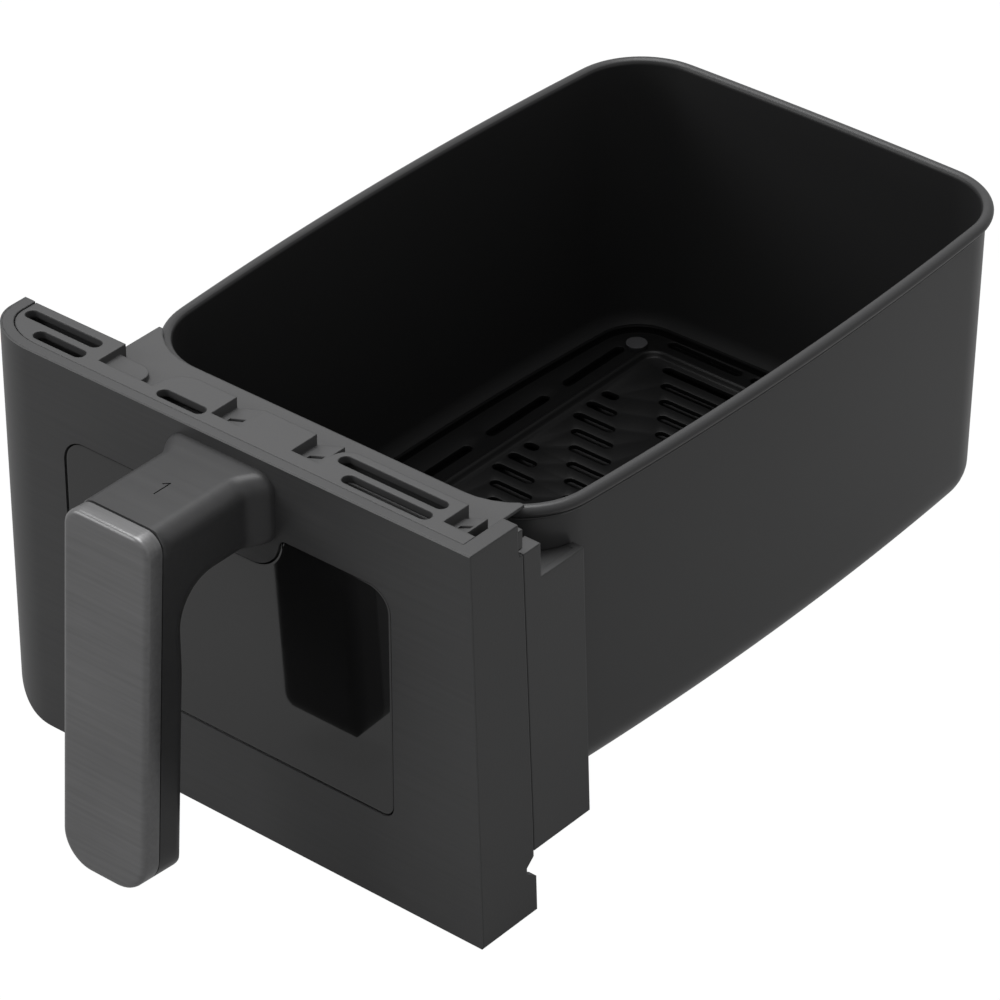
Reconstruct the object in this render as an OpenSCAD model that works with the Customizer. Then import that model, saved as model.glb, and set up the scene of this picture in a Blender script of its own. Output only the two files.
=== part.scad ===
// Pull-out drawer of a two-drawer air fryer: a cast pan with a rolled rim, a lift-out crisper
// plate, a moulded housing with a front cover and a window, and an L-shaped handle.
// Millimetres. X runs across the drawer, Y from the handle to the back of the pan, Z up.
// The drawing frame has X = 0 on the pan's centre line, Y = 0 on the cover's front plane and
// Z = 0 under the cover. placed() then moves everything to the middle of the base.

/* [Front cover] */
// Height of the front cover
cover_h = 132.6; // [128:0.2:148]
// Pan centre line to the cover's left side
cover_left = 108.3; // [104:0.1:120]
// Pan centre line to the cover's right side
cover_right = 82; // [81:0.5:90]
// How far the right side leans in from foot to top
side_taper = 4; // [0:0.5:5]
// Depth of the cover at its foot
cover_d = 24.5; // [23:0.5:30]
// Wall of the cover
cover_t = 2.7; // [2:0.1:3.2]
// Width of the curve round the left edge
wrap_rx = 20; // [14:0.5:26]
// Depth of the curve round the left edge
wrap_ry = 15; // [10:0.5:16]
// Radius of the lower left corner
low_corner_r = 22; // [12:1:30]
// Thickness of the brushed metal skin
skin_t = 0.6; // [0.4:0.1:1]
// Width of the cover's top band along the front
band_w = 3.4; // [3:0.1:4.5]
// Width of the cover's top band at the right
band_right_w = 5.2; // [4:0.2:8]
// Height of the cover's top band
band_h = 4; // [3:0.5:6]
// Groove between the top band and the deck
groove = 0.4; // [0.2:0.1:1]

/* [Window] */
// Window width
window_w = 124.6; // [110:0.2:130]
// Window height
window_h = 78.5; // [70:0.5:84]
// Height of the window's lower edge
window_z = 30; // [26:0.5:34]
// Window middle, measured from the pan's centre line
window_x = -12.7; // [-15:0.1:-10]
// Radius of the window's upper corners
window_top_r = 8; // [4:0.5:12]
// Radius of the window's lower corners
window_low_r = 4.5; // [2:0.5:8]
// Gap round the pane
pane_gap = 0.4; // [0.2:0.1:0.8]
// Pane thickness
pane_t = 2.4; // [1.5:0.1:3]
// Ledge that the pane rests on
ledge_w = 3; // [2:0.5:4]
// Thickness of the ledge
ledge_t = 1.5; // [1:0.1:2.5]
// Thickness of the pane's gasket
pane_seal_t = 0.5; // [0.3:0.1:0.8]
// Half width of the tab that drops into the window under the handle
tab_hw = 21; // [18:0.5:24]
// Drop of the tab below the window's top edge
tab_drop = 11.7; // [8:0.1:14]
// Corner radius of the tab
tab_r = 11; // [6:0.5:11.5]
// Wall of the shroud behind the window
shroud_t = 1.4; // [1:0.1:2]

/* [Housing] */
// Wall of the housing
wall_t = 2.2; // [1.8:0.1:3]
// Rear face of the housing's wall, from the cover's front
wall_back = 20.8; // [20:0.1:24]
// Top of the raised deck below the cover's top
deck_drop = 0.3; // [0.2:0.1:1.5]
// Thickness of the deck
deck_t = 2.5; // [2:0.1:3]
// Depth of the deck's front strip
strip_d = 5; // [4:0.5:6]
// Thickness of the rear strip
rear_strip_t = 1; // [0.8:0.1:1.6]
// Width of the vent slots
vent_w = 4.4; // [3:0.1:4.6]
// Height of the side cheeks' upper edge
cheek_top = 111; // [108:0.5:116]
// Height of the side cheeks' lower edge
cheek_low = 21; // [19:0.5:25]
// Reach of the cheeks behind the cover, at the top
cheek_reach = 48.6; // [42:0.2:52]

/* [Pan] */
// Inside width of the rim at its widest
pan_w = 153.6; // [150:0.2:156]
// Inside length of the rim
pan_l = 227.8; // [210:0.2:260]
// Height of the pan over the rim
pan_h = 102.6; // [98:0.2:104]
// Height of the pan's underside over the cover's underside
pan_z = 24; // [23:0.5:25.5]
// Corner radius inside the rim
pan_r = 22.5; // [20:0.5:24]
// Outward bow of the side walls
side_bow = 3.3; // [1:0.1:5]
// Outward bow of the rear wall
back_bow = 0.6; // [0.4:0.1:3]
// Wall thickness
pan_t = 1.5; // [1.2:0.1:2]
// Lean of the walls from rim to floor
draft = 1.7; // [0.5:0.1:3]
// Radius between floor and walls, outside
floor_r = 12; // [8:0.5:16]
// Radius of the rolled rim
bead_r = 1.9; // [1.5:0.1:2.2]
// Depth of the brackets between housing and pan
bracket_d = 9; // [8:0.1:11]
// How far the mounting pad stands proud of the wall
pad_proud = 0.7; // [0.5:0.1:1]
// Half width of the mounting pad
pad_hw = 49; // [47:0.5:49.5]

/* [Inner glass] */
// Width of the opening in the pan
sight_w = 72; // [60:1:74]
// Height of the opening in the pan
sight_h = 42; // [34:1:44]
// Middle of the opening, from the pan's centre line
sight_x = -2; // [-2.5:0.5:2]
// Height of the opening's middle
sight_z = 73; // [72:0.5:74]
// Corner radius of the opening
sight_r = 8; // [5:0.5:12]
// Glass thickness
glass_t = 3; // [2:0.1:3.2]
// Width of glass held all round
glass_lap = 5; // [4:0.5:5]
// Thickness of the gasket's lips
lip_t = 1; // [0.6:0.1:1.2]
// Width of the gasket outside the glass
seal_w = 3; // [2:0.5:3]
// Thickness of the steel frame and brackets
sheet_t = 1; // [0.8:0.1:1.2]

/* [Handle] */
// Width of the handle
grip_w = 32; // [28:0.5:36]
// Depth of the grip, front to back
grip_d = 17; // [15:0.5:20]
// Length of the grip
grip_l = 118; // [100:1:120]
// Front of the grip ahead of the cover
grip_out = 47.2; // [42:0.2:55]
// Lean of the grip, foot forward
lean = 3.9; // [0:0.1:6]
// Depth of the brushed front cap
cap_d = 6.3; // [5:0.1:7]
// Bevel round the cap's face
cap_edge = 1.6; // [0.8:0.1:2.2]
// Upper corner radius of the grip
grip_top_r = 6; // [3:0.5:9]
// Lower corner radius of the grip
grip_low_r = 11; // [6:0.5:13]
// Top of the handle below the cover's top
neck_drop = 3.6; // [3:0.2:8]
// Height of the neck
neck_h = 24.5; // [21:0.5:26]
// Corner radius along the neck
neck_r = 7; // [4:0.5:8]
// Radius under the neck, where the fingers go
finger_r = 13; // [8:0.5:16]
// Spread of the neck's root each side
root_flare = 4; // [1:0.5:5]
// Length of the root
root_l = 8; // [4:0.5:10]
// Wall of the handle
grip_t = 2.4; // [2:0.1:3]

/* [Crisper] */
// Height of the plate's upper face over the pan's inner floor
crisper_rise = 5.1; // [4:0.1:12]
// Plate thickness
crisper_t = 1.5; // [1.2:0.1:2]
// Gap between plate and pan wall
crisper_gap = 2.2; // [1.5:0.1:4]
// Slot width
slot_w = 3.4; // [2.5:0.1:4]
// Pitch of the slot rows
slot_pitch = 7.75; // [7:0.05:10]
// Rim's widest place to the middle of the raised bead
bead_in = 26.5; // [25:0.5:30]
// Half width of the spine between the two halves
spine_hw = 9; // [5:0.5:14]
// Slope of the diagonal ribs
rib_slope = 1.43; // [1:0.01:2]
// Width of the rearmost diagonal rib, measured along the rows
first_rib_w = 16.4; // [10:0.2:18]
// Width of the other diagonal ribs, measured along the rows
rib_w = 12; // [10:0.2:18]
// Distance between two diagonal ribs along the drawer
rib_pitch = 40; // [36:1:60]
// Height of the raised bead round the field
ridge_h = 1.6; // [0.8:0.1:2]
// Width of the raised bead
ridge_w = 4; // [3:0.5:4.5]
// Length of a slot in the outer row
ring_slot_l = 26; // [16:1:28]
// Pitch of the slots in the outer row
ring_pitch = 35; // [32:1:40]
// Radius of the silicone bumpers
bumper_r = 3.5; // [2.5:0.1:4]

/* [Fasteners] */
// Radius of the small screws
screw_r = 1.5; // [1.2:0.1:1.6]
// Radius of the handle screws
handle_screw_r = 2.4; // [2:0.1:2.5]
// Gap round a screw
screw_gap = 0.05; // [0.02:0.01:0.1]
// Gap between parts that only lie side by side
part_gap = 0.3; // [0.2:0.05:0.4]

/* [Hidden] */

$fn = 32;
eps = 0.01;
through = 1;

// Pan: places along Y, heights, and the arcs of its outline
wall_front = wall_back - wall_t;
pad_y = wall_back + bracket_d;
pan_front = pad_y + pad_proud + pan_t;
pan_back = pan_front + pan_l;
rim_z = pan_z + pan_h;
bead_out = 2 * bead_r;
corner_x = pan_w / 2 - side_bow - pan_r;
front_corner_y = pan_front + pan_r;
back_corner_y = pan_back - back_bow - pan_r;
side_mid_y = (front_corner_y + back_corner_y) / 2;
side_half = (back_corner_y - front_corner_y) / 2;
side_arc_r = (side_half * side_half + side_bow * side_bow) / (2 * side_bow);
side_arc_x = corner_x + side_bow - side_arc_r;
side_turn = asin(side_half / side_arc_r);
back_arc_r = (corner_x * corner_x + back_bow * back_bow) / (2 * back_bow);
back_arc_y = back_corner_y + back_bow - back_arc_r;
back_turn = asin(corner_x / back_arc_r);
corner_steps = 8;
bow_steps = 6;
pan_floor_z = pan_z + pan_t;
screw_bite = 1.6;

// Cover, deck and housing
inside = skin_t + cover_t;
band_y = skin_t + band_w;
deck_top = cover_h - deck_drop;
deck_under = deck_top - deck_t;
rear_strip_under = rim_z + part_gap;
rear_strip_z = rear_strip_under + rear_strip_t;
step_drop = deck_top - rear_strip_z;
deck_front = band_y + groove;
deck_right = side_x(cover_h) - band_right_w - groove;
strip_back = deck_front + strip_d;
foot_t = 2.5;
wall_gap = inside + part_gap;
boss_r = 4;
boss_root = 0.7;
side_top_y = 20.7;
side_step_z = 122;
side_step_y = 22.4;
notch_low = 11.8;
notch_top = 19.2;
notch_d = 4;
side_seam_z = 30;
side_seam_low_y = cover_d - 0.9;
notch_slope = 2.6;
cover_boss = [[-93, 104], [-93, 46], [-52, 13], [30, 13], [68, 46], [68, 104]];
cover_screw_l = 12;
screw_head_r = 2.8;
screw_head_h = 1.8;

// Deck: raised blocks as [from, to, back], pockets between them, and the low strip behind
left_block_end = -68.4;
stub_end = -54.5;
stub_back = 18.5;
stub_drop = 2.5;
block_1 = [-47, -24.8, 20.2];
block_2 = [-13.7, 5.4, 20.2];
block_3 = [15.8, 61, 20.2];
last_ramp = 8.5;
ramp_drop = 3.6;
clip_slot_y = 12.9;
clip_slot_w = 1.5;
vents = [[-100.3, -75.4, 15.4], [-90.5, -75.3, 8.55], [-41.9, -28.6, 8.45], [20.5, 55.1, 15.3],
    [27.5, 55, 8.6]];
rear_strip_left = -72.4;
rear_strip_right = 68.5;
rear_arm_y = 39;
rear_arm_right_y = 35;
rear_lap = bead_out - 1;

// Cheeks
cheek_front_low = side_seam_low_y + part_gap;
cheek_step_y = 30;
cheek_lean = 0.3;
cheek_sink = 0.2;
cheek_in = 14;
cheek_clear_y = cover_d + part_gap;
column_x = deck_right + groove;
column_y = 23;
column_root = 3;

// Window
window_left = window_x - window_w / 2;
window_right = window_x + window_w / 2;
window_top = window_z + window_h;
pane_front = 0.35;
pane_back = pane_front + pane_t;
ledge_y = pane_back + pane_seal_t;
ledge_back = ledge_y + ledge_t;
shroud_back = pad_y - lip_t * 2 - glass_t - sheet_t - part_gap;

// Inner glass, outwards from the pan's pad
seal_front = pad_y - glass_t - 2 * lip_t;
frame_front = seal_front - sheet_t;
seal_hw = sight_w / 2 + glass_lap + seal_w;
seal_hh = sight_h / 2 + glass_lap + seal_w;
frame_hw = seal_hw + part_gap + sheet_t;
frame_hh = seal_hh + part_gap + sheet_t;
ear_l = 6;
ear_w = 12;
ear_x = 30;
bracket_hw = 44;
bracket_flange = 7;
bracket_screw_x = [-32, 0, 32];
housing_screw_x = [-16, 16];
housing_bite = 6;
housing_boss_r = 3.5;
wall_flange = 6;
bracket_clear = 0.7;
pad_low = sight_z - frame_hh - ear_l - bracket_clear - bracket_flange;
pad_top = sight_z + frame_hh + ear_l + bracket_clear + bracket_flange;

// Handle: the grip is drawn upright and then leant
handle_x = window_x;
neck_top = cover_h - neck_drop;
neck_low = neck_top - neck_h;
seam = 0.2;
shell_y = cap_d + seam;
grip_back_y = -grip_out + grip_d * cos(lean);
finger_z = neck_low - finger_r;
finger_y = grip_back_y - (neck_top - grip_d * sin(lean) - finger_z) * tan(lean)
    + finger_r / cos(lean);
insert_hw = 11;
insert_hh = 5.5;
insert_drop = 14.1;
insert_z = rim_z - insert_drop;
bolt_out = 6.5;
handle_bolt_x = [handle_x - bolt_out, handle_x + bolt_out];
handle_boss_r = 4.4;
handle_head_r = 4;
handle_head_h = 2.8;
handle_bite = 20;
grip_screw_z = [-40, -95];
grip_boss_r = 3.6;
cap_boss_end = 10.2;
head_seat = grip_d - 4;
number_depth = 0.4;
number_y = -27.5;
number_h = 7;
number_line = 0.5;
number_flag = 1.7;
neck_end = -grip_out + shell_y + part_gap;

// Crisper
crisper_z = pan_floor_z + crisper_rise;
crisper_inset = wall_in(crisper_rise - crisper_t) - crisper_gap;
back_margin = 23.8;
front_margin = 26;
field_gap = 1.9;
field_back = pan_back - back_margin;
field_front = pan_front + front_margin;
ring_out = 8.2;
ring_end_out = 7;
ridge_x = pan_w / 2 - bead_in;
field_hw = ridge_x - ridge_w / 2 - field_gap;
ring_x = ridge_x + ring_out;
ridge_y_back = field_back + slot_w / 2 + ridge_w / 2 + 2.3;
ring_y_back = ridge_y_back + ring_end_out;
ridge_y_front = field_front - slot_w / 2 - ridge_w / 2 - 2.3;
ring_y_front = ridge_y_front - ring_end_out;
rib_first = field_back - 21.5;
rib_x = -41.5;
rib_count = 6;
slot_steps = 4;
row_count = floor((field_back - field_front) / slot_pitch) + 1;
side_slot_count = round((ridge_y_back - ridge_y_front) / ring_pitch);
end_slot_count = round(2 * ridge_x / ring_pitch);
ridge_r = 6;
rim_lip_h = 2.5;
rim_lip_w = 1.5;
foot_h = crisper_rise - crisper_t;
foot_gap = 0.1;
bumper_inset = -16.5;
bumper_stem_r = 2;

// The middle of the base, in the drawing frame
foot_y = -grip_out - (grip_l - cap_edge) * sin(lean);
middle_x = (max(pan_w / 2 + bead_out, cover_right) - cover_left) / 2;
middle_y = (pan_back + bead_out + foot_y) / 2;

// ---- helpers ----

module placed() {
    translate([-middle_x, -middle_y, 0])
        children();
}

// Extrudes a drawing of X and Z from y0 to y1
module along_y(y0, y1) {
    translate([0, y1, 0])
        rotate([90, 0, 0])
            linear_extrude(y1 - y0)
                children();
}

// Extrudes a drawing of Y and Z from x0 to x1
module along_x(x0, x1) {
    translate([x0, 0, 0])
        rotate([90, 0, 90])
            linear_extrude(x1 - x0)
                children();
}

// Extrudes a drawing of X and Y from z0 to z1
module along_z(z0, z1) {
    translate([0, 0, z0])
        linear_extrude(z1 - z0)
            children();
}

module box(low, high) {
    translate(low)
        cube(high - low);
}

function arc(center, r, from, to, steps) =
    [for (i = [0:steps]) center + r * [cos(from + (to - from) * i / steps),
                                       sin(from + (to - from) * i / steps)]];

// The same without its two end points
function inner_arc(center, r, from, to, steps) =
    [for (i = [1:steps - 1]) center + r * [cos(from + (to - from) * i / steps),
                                           sin(from + (to - from) * i / steps)]];

// Rectangle with one radius for the lower corners and one for the upper
function round_rect(x0, x1, y0, y1, low_r, top_r) = concat(
    arc([x0 + low_r, y0 + low_r], low_r, 180, 270, corner_steps),
    arc([x1 - low_r, y0 + low_r], low_r, 270, 360, corner_steps),
    arc([x1 - top_r, y1 - top_r], top_r, 0, 90, corner_steps),
    arc([x0 + top_r, y1 - top_r], top_r, 90, 180, corner_steps));

// The pan's outline, set off outwards by d from the inside of the rim. Four corner arcs are
// joined by flat arcs along the sides and the back, and by a straight front.
function pan_outline(d) = concat(
    arc([corner_x, front_corner_y], pan_r + d, 270, 360 - side_turn, corner_steps),
    inner_arc([side_arc_x, side_mid_y], side_arc_r + pan_r + d, -side_turn, side_turn, bow_steps),
    arc([corner_x, back_corner_y], pan_r + d, side_turn, 90 - back_turn, corner_steps),
    inner_arc([0, back_arc_y], back_arc_r + pan_r + d, 90 - back_turn, 90 + back_turn, bow_steps),
    arc([-corner_x, back_corner_y], pan_r + d, 90 + back_turn, 180 - side_turn, corner_steps),
    inner_arc([-side_arc_x, side_mid_y], side_arc_r + pan_r + d,
        180 - side_turn, 180 + side_turn, bow_steps),
    arc([-corner_x, front_corner_y], pan_r + d, 180 + side_turn, 270, corner_steps));

// A closed skin through a stack of outlines, each given as [offset, height]
module loft(stack) {
    rings = [for (s = stack) [for (p = pan_outline(s[0])) [p[0], p[1], s[1]]]];
    n = len(rings[0]);
    last = len(rings) - 1;
    points = [for (ring = rings) for (p = ring) p];
    sides = [for (k = [0:last - 1]) for (i = [0:n - 1]) for (half = [0, 1])
        let (a = k * n + i)
        let (b = k * n + (i + 1) % n)
        half == 0 ? [a, a + n, b] : [b, a + n, b + n]];
    floor_face = [for (i = [0:n - 1]) i];
    last_face = [for (i = [n - 1:-1:0]) last * n + i];
    polyhedron(points, concat(sides, [floor_face], [last_face]));
}

// Plan of the cover, set in by d from its outer faces, from the front to y_back
function cover_plan(d, right, y_back) = concat(
    [[right, y_back], [right, d]],
    [for (i = [0:corner_steps])
        [-cover_left + wrap_rx - (wrap_rx - d) * sin(90 * i / corner_steps),
         wrap_ry - (wrap_ry - d) * cos(90 * i / corner_steps)]],
    [[-cover_left + d, y_back]]);

// How far the right side has leant in at height z, and where its outer face then is
function side_in(z) = side_taper * z / cover_h;
function side_x(z) = cover_right - side_in(z);

// A wall along the leaning right side, from t0 to t1 behind its outer face
module side_slab(t0, t1) {
    along_y(0, pan_back)
        polygon([[side_x(0) - t1, 0], [side_x(0) - t0, 0], [side_x(cover_h) - t0, cover_h],
                 [side_x(cover_h) - t1, cover_h]]);
}

// Face of the cover, set in by d, with its round lower left corner
function cover_face(d, right, low, top) = concat(
    [[right - side_in(top), top], [right - side_in(low), low]],
    [[-cover_left + low_corner_r, low]],
    arc([-cover_left + low_corner_r, low_corner_r], low_corner_r - d, 270, 180, corner_steps),
    [[-cover_left + d, top]]);

module cover_block(d, right, low, top, y_back) {
    intersection() {
        along_z(low, top)
            polygon(cover_plan(d, right, y_back));
        along_y(-through, y_back)
            polygon(cover_face(d, right, low, top));
    }
}

// The window's outline, set in by d, with the tab taken out of its top edge
module window_shape(d) {
    difference() {
        polygon(round_rect(window_left + d, window_right - d, window_z + d, window_top - d,
            window_low_r - d / 2, window_top_r - d / 2));
        polygon(round_rect(handle_x - tab_hw - d, handle_x + tab_hw + d,
            window_top - tab_drop - d, window_top + tab_drop, tab_r, eps));
    }
}

module plain_window(d) {
    polygon(round_rect(window_left + d, window_right - d, window_z + d, window_top - d,
        max(window_low_r - d, 1), max(window_top_r - d, 1)));
}

// A screw along +Y from its head's bearing face at y = 0: shank one way, head the other
module screw_y(r, head_r, head_h, shank) {
    translate([0, shank, 0])
        rotate([90, 0, 0])
            cylinder(r = r, h = shank);
    rotate([90, 0, 0])
        cylinder(r = head_r, h = head_h);
}

module drill_y(r, y0, y1) {
    translate([0, y1, 0])
        rotate([90, 0, 0])
            cylinder(r = r, h = y1 - y0);
}

module stadium(x0, x1, w) {
    translate([x0, -w / 2])
        square([x1 - x0, w]);
    translate([x0, 0])
        circle(r = w / 2, $fn = 24);
    translate([x1, 0])
        circle(r = w / 2, $fn = 24);
}

// ---- the pan ----

module pan_shell() {
    wall_top_d = pan_t;
    wall_low_d = pan_t - draft;
    inner_r = floor_r - pan_t;
    bead = [bead_r, rim_z - bead_r];
    outer_floor = arc([wall_low_d - floor_r, pan_z + floor_r], floor_r, 270, 360, 5);
    roll = arc(bead, bead_r, 0, 180, 8);
    inner_floor = arc([-draft - inner_r, pan_floor_z + inner_r], inner_r, 360, 270, 5);
    stack = concat(
        outer_floor,
        [[wall_top_d, rim_z - 2 * bead_r - 0.4]],
        [bead + bead_r * [cos(-60), sin(-60)]],
        roll,
        inner_floor);
    color("dimgray")
        difference() {
            union() {
                loft(stack);
                along_x(-pad_hw, pad_hw)
                    polygon([[pad_y, pad_low], [wall_mid(pad_low), pad_low],
                             [wall_mid(pad_top), pad_top], [pad_y, pad_top]]);
            }
            along_y(pad_y - through, pan_front + draft + through)
                polygon(round_rect(sight_x - sight_w / 2, sight_x + sight_w / 2,
                    sight_z - sight_h / 2, sight_z + sight_h / 2, sight_r, sight_r));
            for (p = bracket_bolts())
                translate([p[0], 0, p[1]])
                    drill_y(screw_r + screw_gap, pad_y - eps, pad_y + screw_bite);
            for (p = ear_bolts())
                translate([p[0], 0, p[1]])
                    drill_y(screw_r + screw_gap, pad_y - eps, pad_y + screw_bite);
        }
}

// The middle of the leaning front wall at height z
function wall_mid(z) = pan_front - pan_t / 2 + draft * (rim_z - z) / pan_h;

function bracket_bolts() = [for (x = bracket_screw_x) for (end = [[pad_low, 1], [pad_top, -1]])
    [x, end[0] + end[1] * bracket_flange / 2]];
function housing_bolts() = [for (x = housing_screw_x) for (end = [[pad_low, -1], [pad_top, 1]])
    [x, end[0] + end[1] * (sheet_t + wall_flange / 2)]];
function ear_bolts() = [for (x = [-ear_x, ear_x]) for (z = [-1, 1])
    [sight_x + x, sight_z + z * (frame_hh + ear_l / 2)]];

// ---- the inner glass ----

module sight_glass() {
    hw = sight_w / 2 + glass_lap;
    hh = sight_h / 2 + glass_lap;
    color("lightsteelblue", 0.4)
        along_y(seal_front + lip_t, pad_y - lip_t)
            polygon(round_rect(sight_x - hw, sight_x + hw, sight_z - hh, sight_z + hh,
                sight_r, sight_r));
}

module sight_gasket() {
    glass_hw = sight_w / 2 + glass_lap;
    glass_hh = sight_h / 2 + glass_lap;
    color("darkslategray")
        difference() {
            along_y(seal_front, pad_y)
                polygon(round_rect(sight_x - seal_hw, sight_x + seal_hw,
                    sight_z - seal_hh, sight_z + seal_hh, sight_r, sight_r));
            along_y(seal_front - through, pad_y + through)
                polygon(round_rect(sight_x - sight_w / 2, sight_x + sight_w / 2,
                    sight_z - sight_h / 2, sight_z + sight_h / 2, sight_r, sight_r));
            along_y(seal_front + lip_t, pad_y - lip_t)
                polygon(round_rect(sight_x - glass_hw, sight_x + glass_hw,
                    sight_z - glass_hh, sight_z + glass_hh, sight_r, sight_r));
        }
}

// Pressed steel frame that clamps the gasket: a plate, a wall round it and four ears
module sight_frame() {
    cup_hw = seal_hw + part_gap;
    cup_hh = seal_hh + part_gap;
    color("silver")
        difference() {
            union() {
                along_y(frame_front, pad_y)
                    polygon(round_rect(sight_x - frame_hw, sight_x + frame_hw,
                        sight_z - frame_hh, sight_z + frame_hh, sight_r, sight_r));
                for (x = [-ear_x, ear_x])
                    box([sight_x + x - ear_w / 2, pad_y - sheet_t, sight_z - frame_hh - ear_l],
                        [sight_x + x + ear_w / 2, pad_y, sight_z + frame_hh + ear_l]);
            }
            along_y(frame_front - through, pad_y + through)
                polygon(round_rect(sight_x - sight_w / 2, sight_x + sight_w / 2,
                    sight_z - sight_h / 2, sight_z + sight_h / 2, sight_r, sight_r));
            along_y(seal_front, pad_y + through)
                polygon(round_rect(sight_x - cup_hw, sight_x + cup_hw,
                    sight_z - cup_hh, sight_z + cup_hh, sight_r, sight_r));
            for (p = ear_bolts())
                translate([p[0], 0, p[1]])
                    drill_y(screw_r + screw_gap, pad_y - sheet_t - through, pad_y + through);
        }
}

module sight_screws() {
    color("gainsboro")
        for (p = ear_bolts())
            translate([p[0], pad_y - sheet_t, p[1]])
                screw_y(screw_r, screw_head_r, screw_head_h, sheet_t + screw_bite);
}

// ---- brackets between pan and housing ----

// Z-section strip: a flange on the pan's pad towards the middle, a web, and a flange on the
// housing's wall away from the middle; up is 1 for the upper strip and -1 for the lower
module bracket(web, up) {
    outer = web + up * sheet_t;
    color("silver")
        difference() {
            along_x(-bracket_hw, bracket_hw)
                polygon([[pad_y, web - up * bracket_flange], [pad_y, outer],
                         [wall_back + sheet_t, outer],
                         [wall_back + sheet_t, outer + up * wall_flange],
                         [wall_back, outer + up * wall_flange], [wall_back, web],
                         [pad_y - sheet_t, web], [pad_y - sheet_t, web - up * bracket_flange]]);
            for (x = bracket_screw_x)
                translate([x, 0, web - up * bracket_flange / 2])
                    drill_y(screw_r + screw_gap, pad_y - sheet_t - through, pad_y + through);
            for (x = housing_screw_x)
                translate([x, 0, outer + up * wall_flange / 2])
                    drill_y(screw_r + screw_gap, wall_back - through, wall_back + sheet_t + through);
            for (x = handle_bolt_x)
                translate([x, 0, insert_z])
                    drill_y(handle_head_r + part_gap, wall_back - through,
                        wall_back + handle_head_h + part_gap);
        }
}

module upper_bracket() {
    bracket(pad_top, 1);
}

module lower_bracket() {
    bracket(pad_low, -1);
}

module bracket_screws() {
    color("gainsboro")
        for (p = bracket_bolts())
            translate([p[0], pad_y - sheet_t, p[1]])
                screw_y(screw_r, screw_head_r, screw_head_h, sheet_t + screw_bite);
}

module housing_screws() {
    color("gainsboro")
        for (p = housing_bolts())
            translate([p[0], wall_back + sheet_t, p[1]])
                mirror([0, 1, 0])
                    screw_y(screw_r, screw_head_r, screw_head_h, sheet_t + housing_bite);
}

// ---- moulded housing: wall, deck and side cheeks ----

// One raised block of the deck: a top plate on walls, open below
module deck_block(x0, x1, y1, top, rear_left_r, rear_right_r) {
    difference() {
        along_z(rear_strip_under, top)
            polygon(concat([[x0, strip_back - eps], [x1, strip_back - eps]],
                arc([x1 - rear_right_r, y1 - rear_right_r], rear_right_r, 0, 90, corner_steps),
                arc([x0 + rear_left_r, y1 - rear_left_r], rear_left_r, 90, 180, corner_steps)));
        box([x0 + wall_t, deck_front, rear_strip_under - through],
            [x1 - wall_t, y1 - wall_t, top - deck_t]);
    }
}

// A pocket whose floor rises from the low end x0 to the deck's top at x1
module deck_ramp(x0, x1, y1) {
    difference() {
        along_y(strip_back - eps, y1)
            polygon([[x0 - eps, rear_strip_under], [x1 + eps, rear_strip_under],
                     [x1 + eps, deck_top], [x0 - eps, deck_top - ramp_drop]]);
        translate([0, clip_slot_y, rear_strip_under - through])
            linear_extrude(deck_t + step_drop + 2 * through)
                translate([x0 + 0.3 * (x1 - x0), -clip_slot_w / 2])
                    square([0.55 * (x1 - x0), clip_slot_w]);
    }
}

module vent_slots() {
    for (v = vents)
        translate([0, v[2], rear_strip_under - through])
            linear_extrude(cover_h)
                stadium(v[0], v[1], vent_w);
}

module deck() {
    difference() {
        union() {
            along_z(deck_under, deck_top)
                polygon(cover_plan(deck_front, left_block_end, wall_back));
            box([left_block_end - wall_t, strip_back, rear_strip_under],
                [left_block_end, wall_back, deck_top]);
            box([-cover_left + deck_front + wall_t, wall_front, rear_strip_under - eps],
                [left_block_end, wall_back, deck_top]);
            box([left_block_end - eps, deck_front, deck_under], [deck_right, strip_back, deck_top]);
            deck_block(left_block_end, stub_end, stub_back, deck_top - stub_drop, eps, 5);
            deck_block(block_1[0], block_1[1], block_1[2], deck_top, 8, eps);
            deck_block(block_2[0], block_2[1], block_2[2], deck_top, eps, eps);
            deck_block(block_3[0], block_3[1], block_3[2], deck_top, 6, eps);
            deck_ramp(block_1[1], block_2[0], block_2[2]);
            deck_ramp(block_2[1], block_3[0], block_3[2]);
            deck_ramp(block_3[1], block_3[1] + last_ramp, block_3[2] - 2);
            along_z(rear_strip_under, rear_strip_z)
                difference() {
                    translate([rear_strip_left, strip_back - wall_t])
                        square([rear_strip_right - rear_strip_left,
                                rear_arm_y - strip_back + wall_t]);
                    polygon(pan_outline(rear_lap));
                    translate([0, rear_arm_right_y])
                        square([cover_right, pan_l]);
                }
        }
        vent_slots();
    }
}

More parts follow.
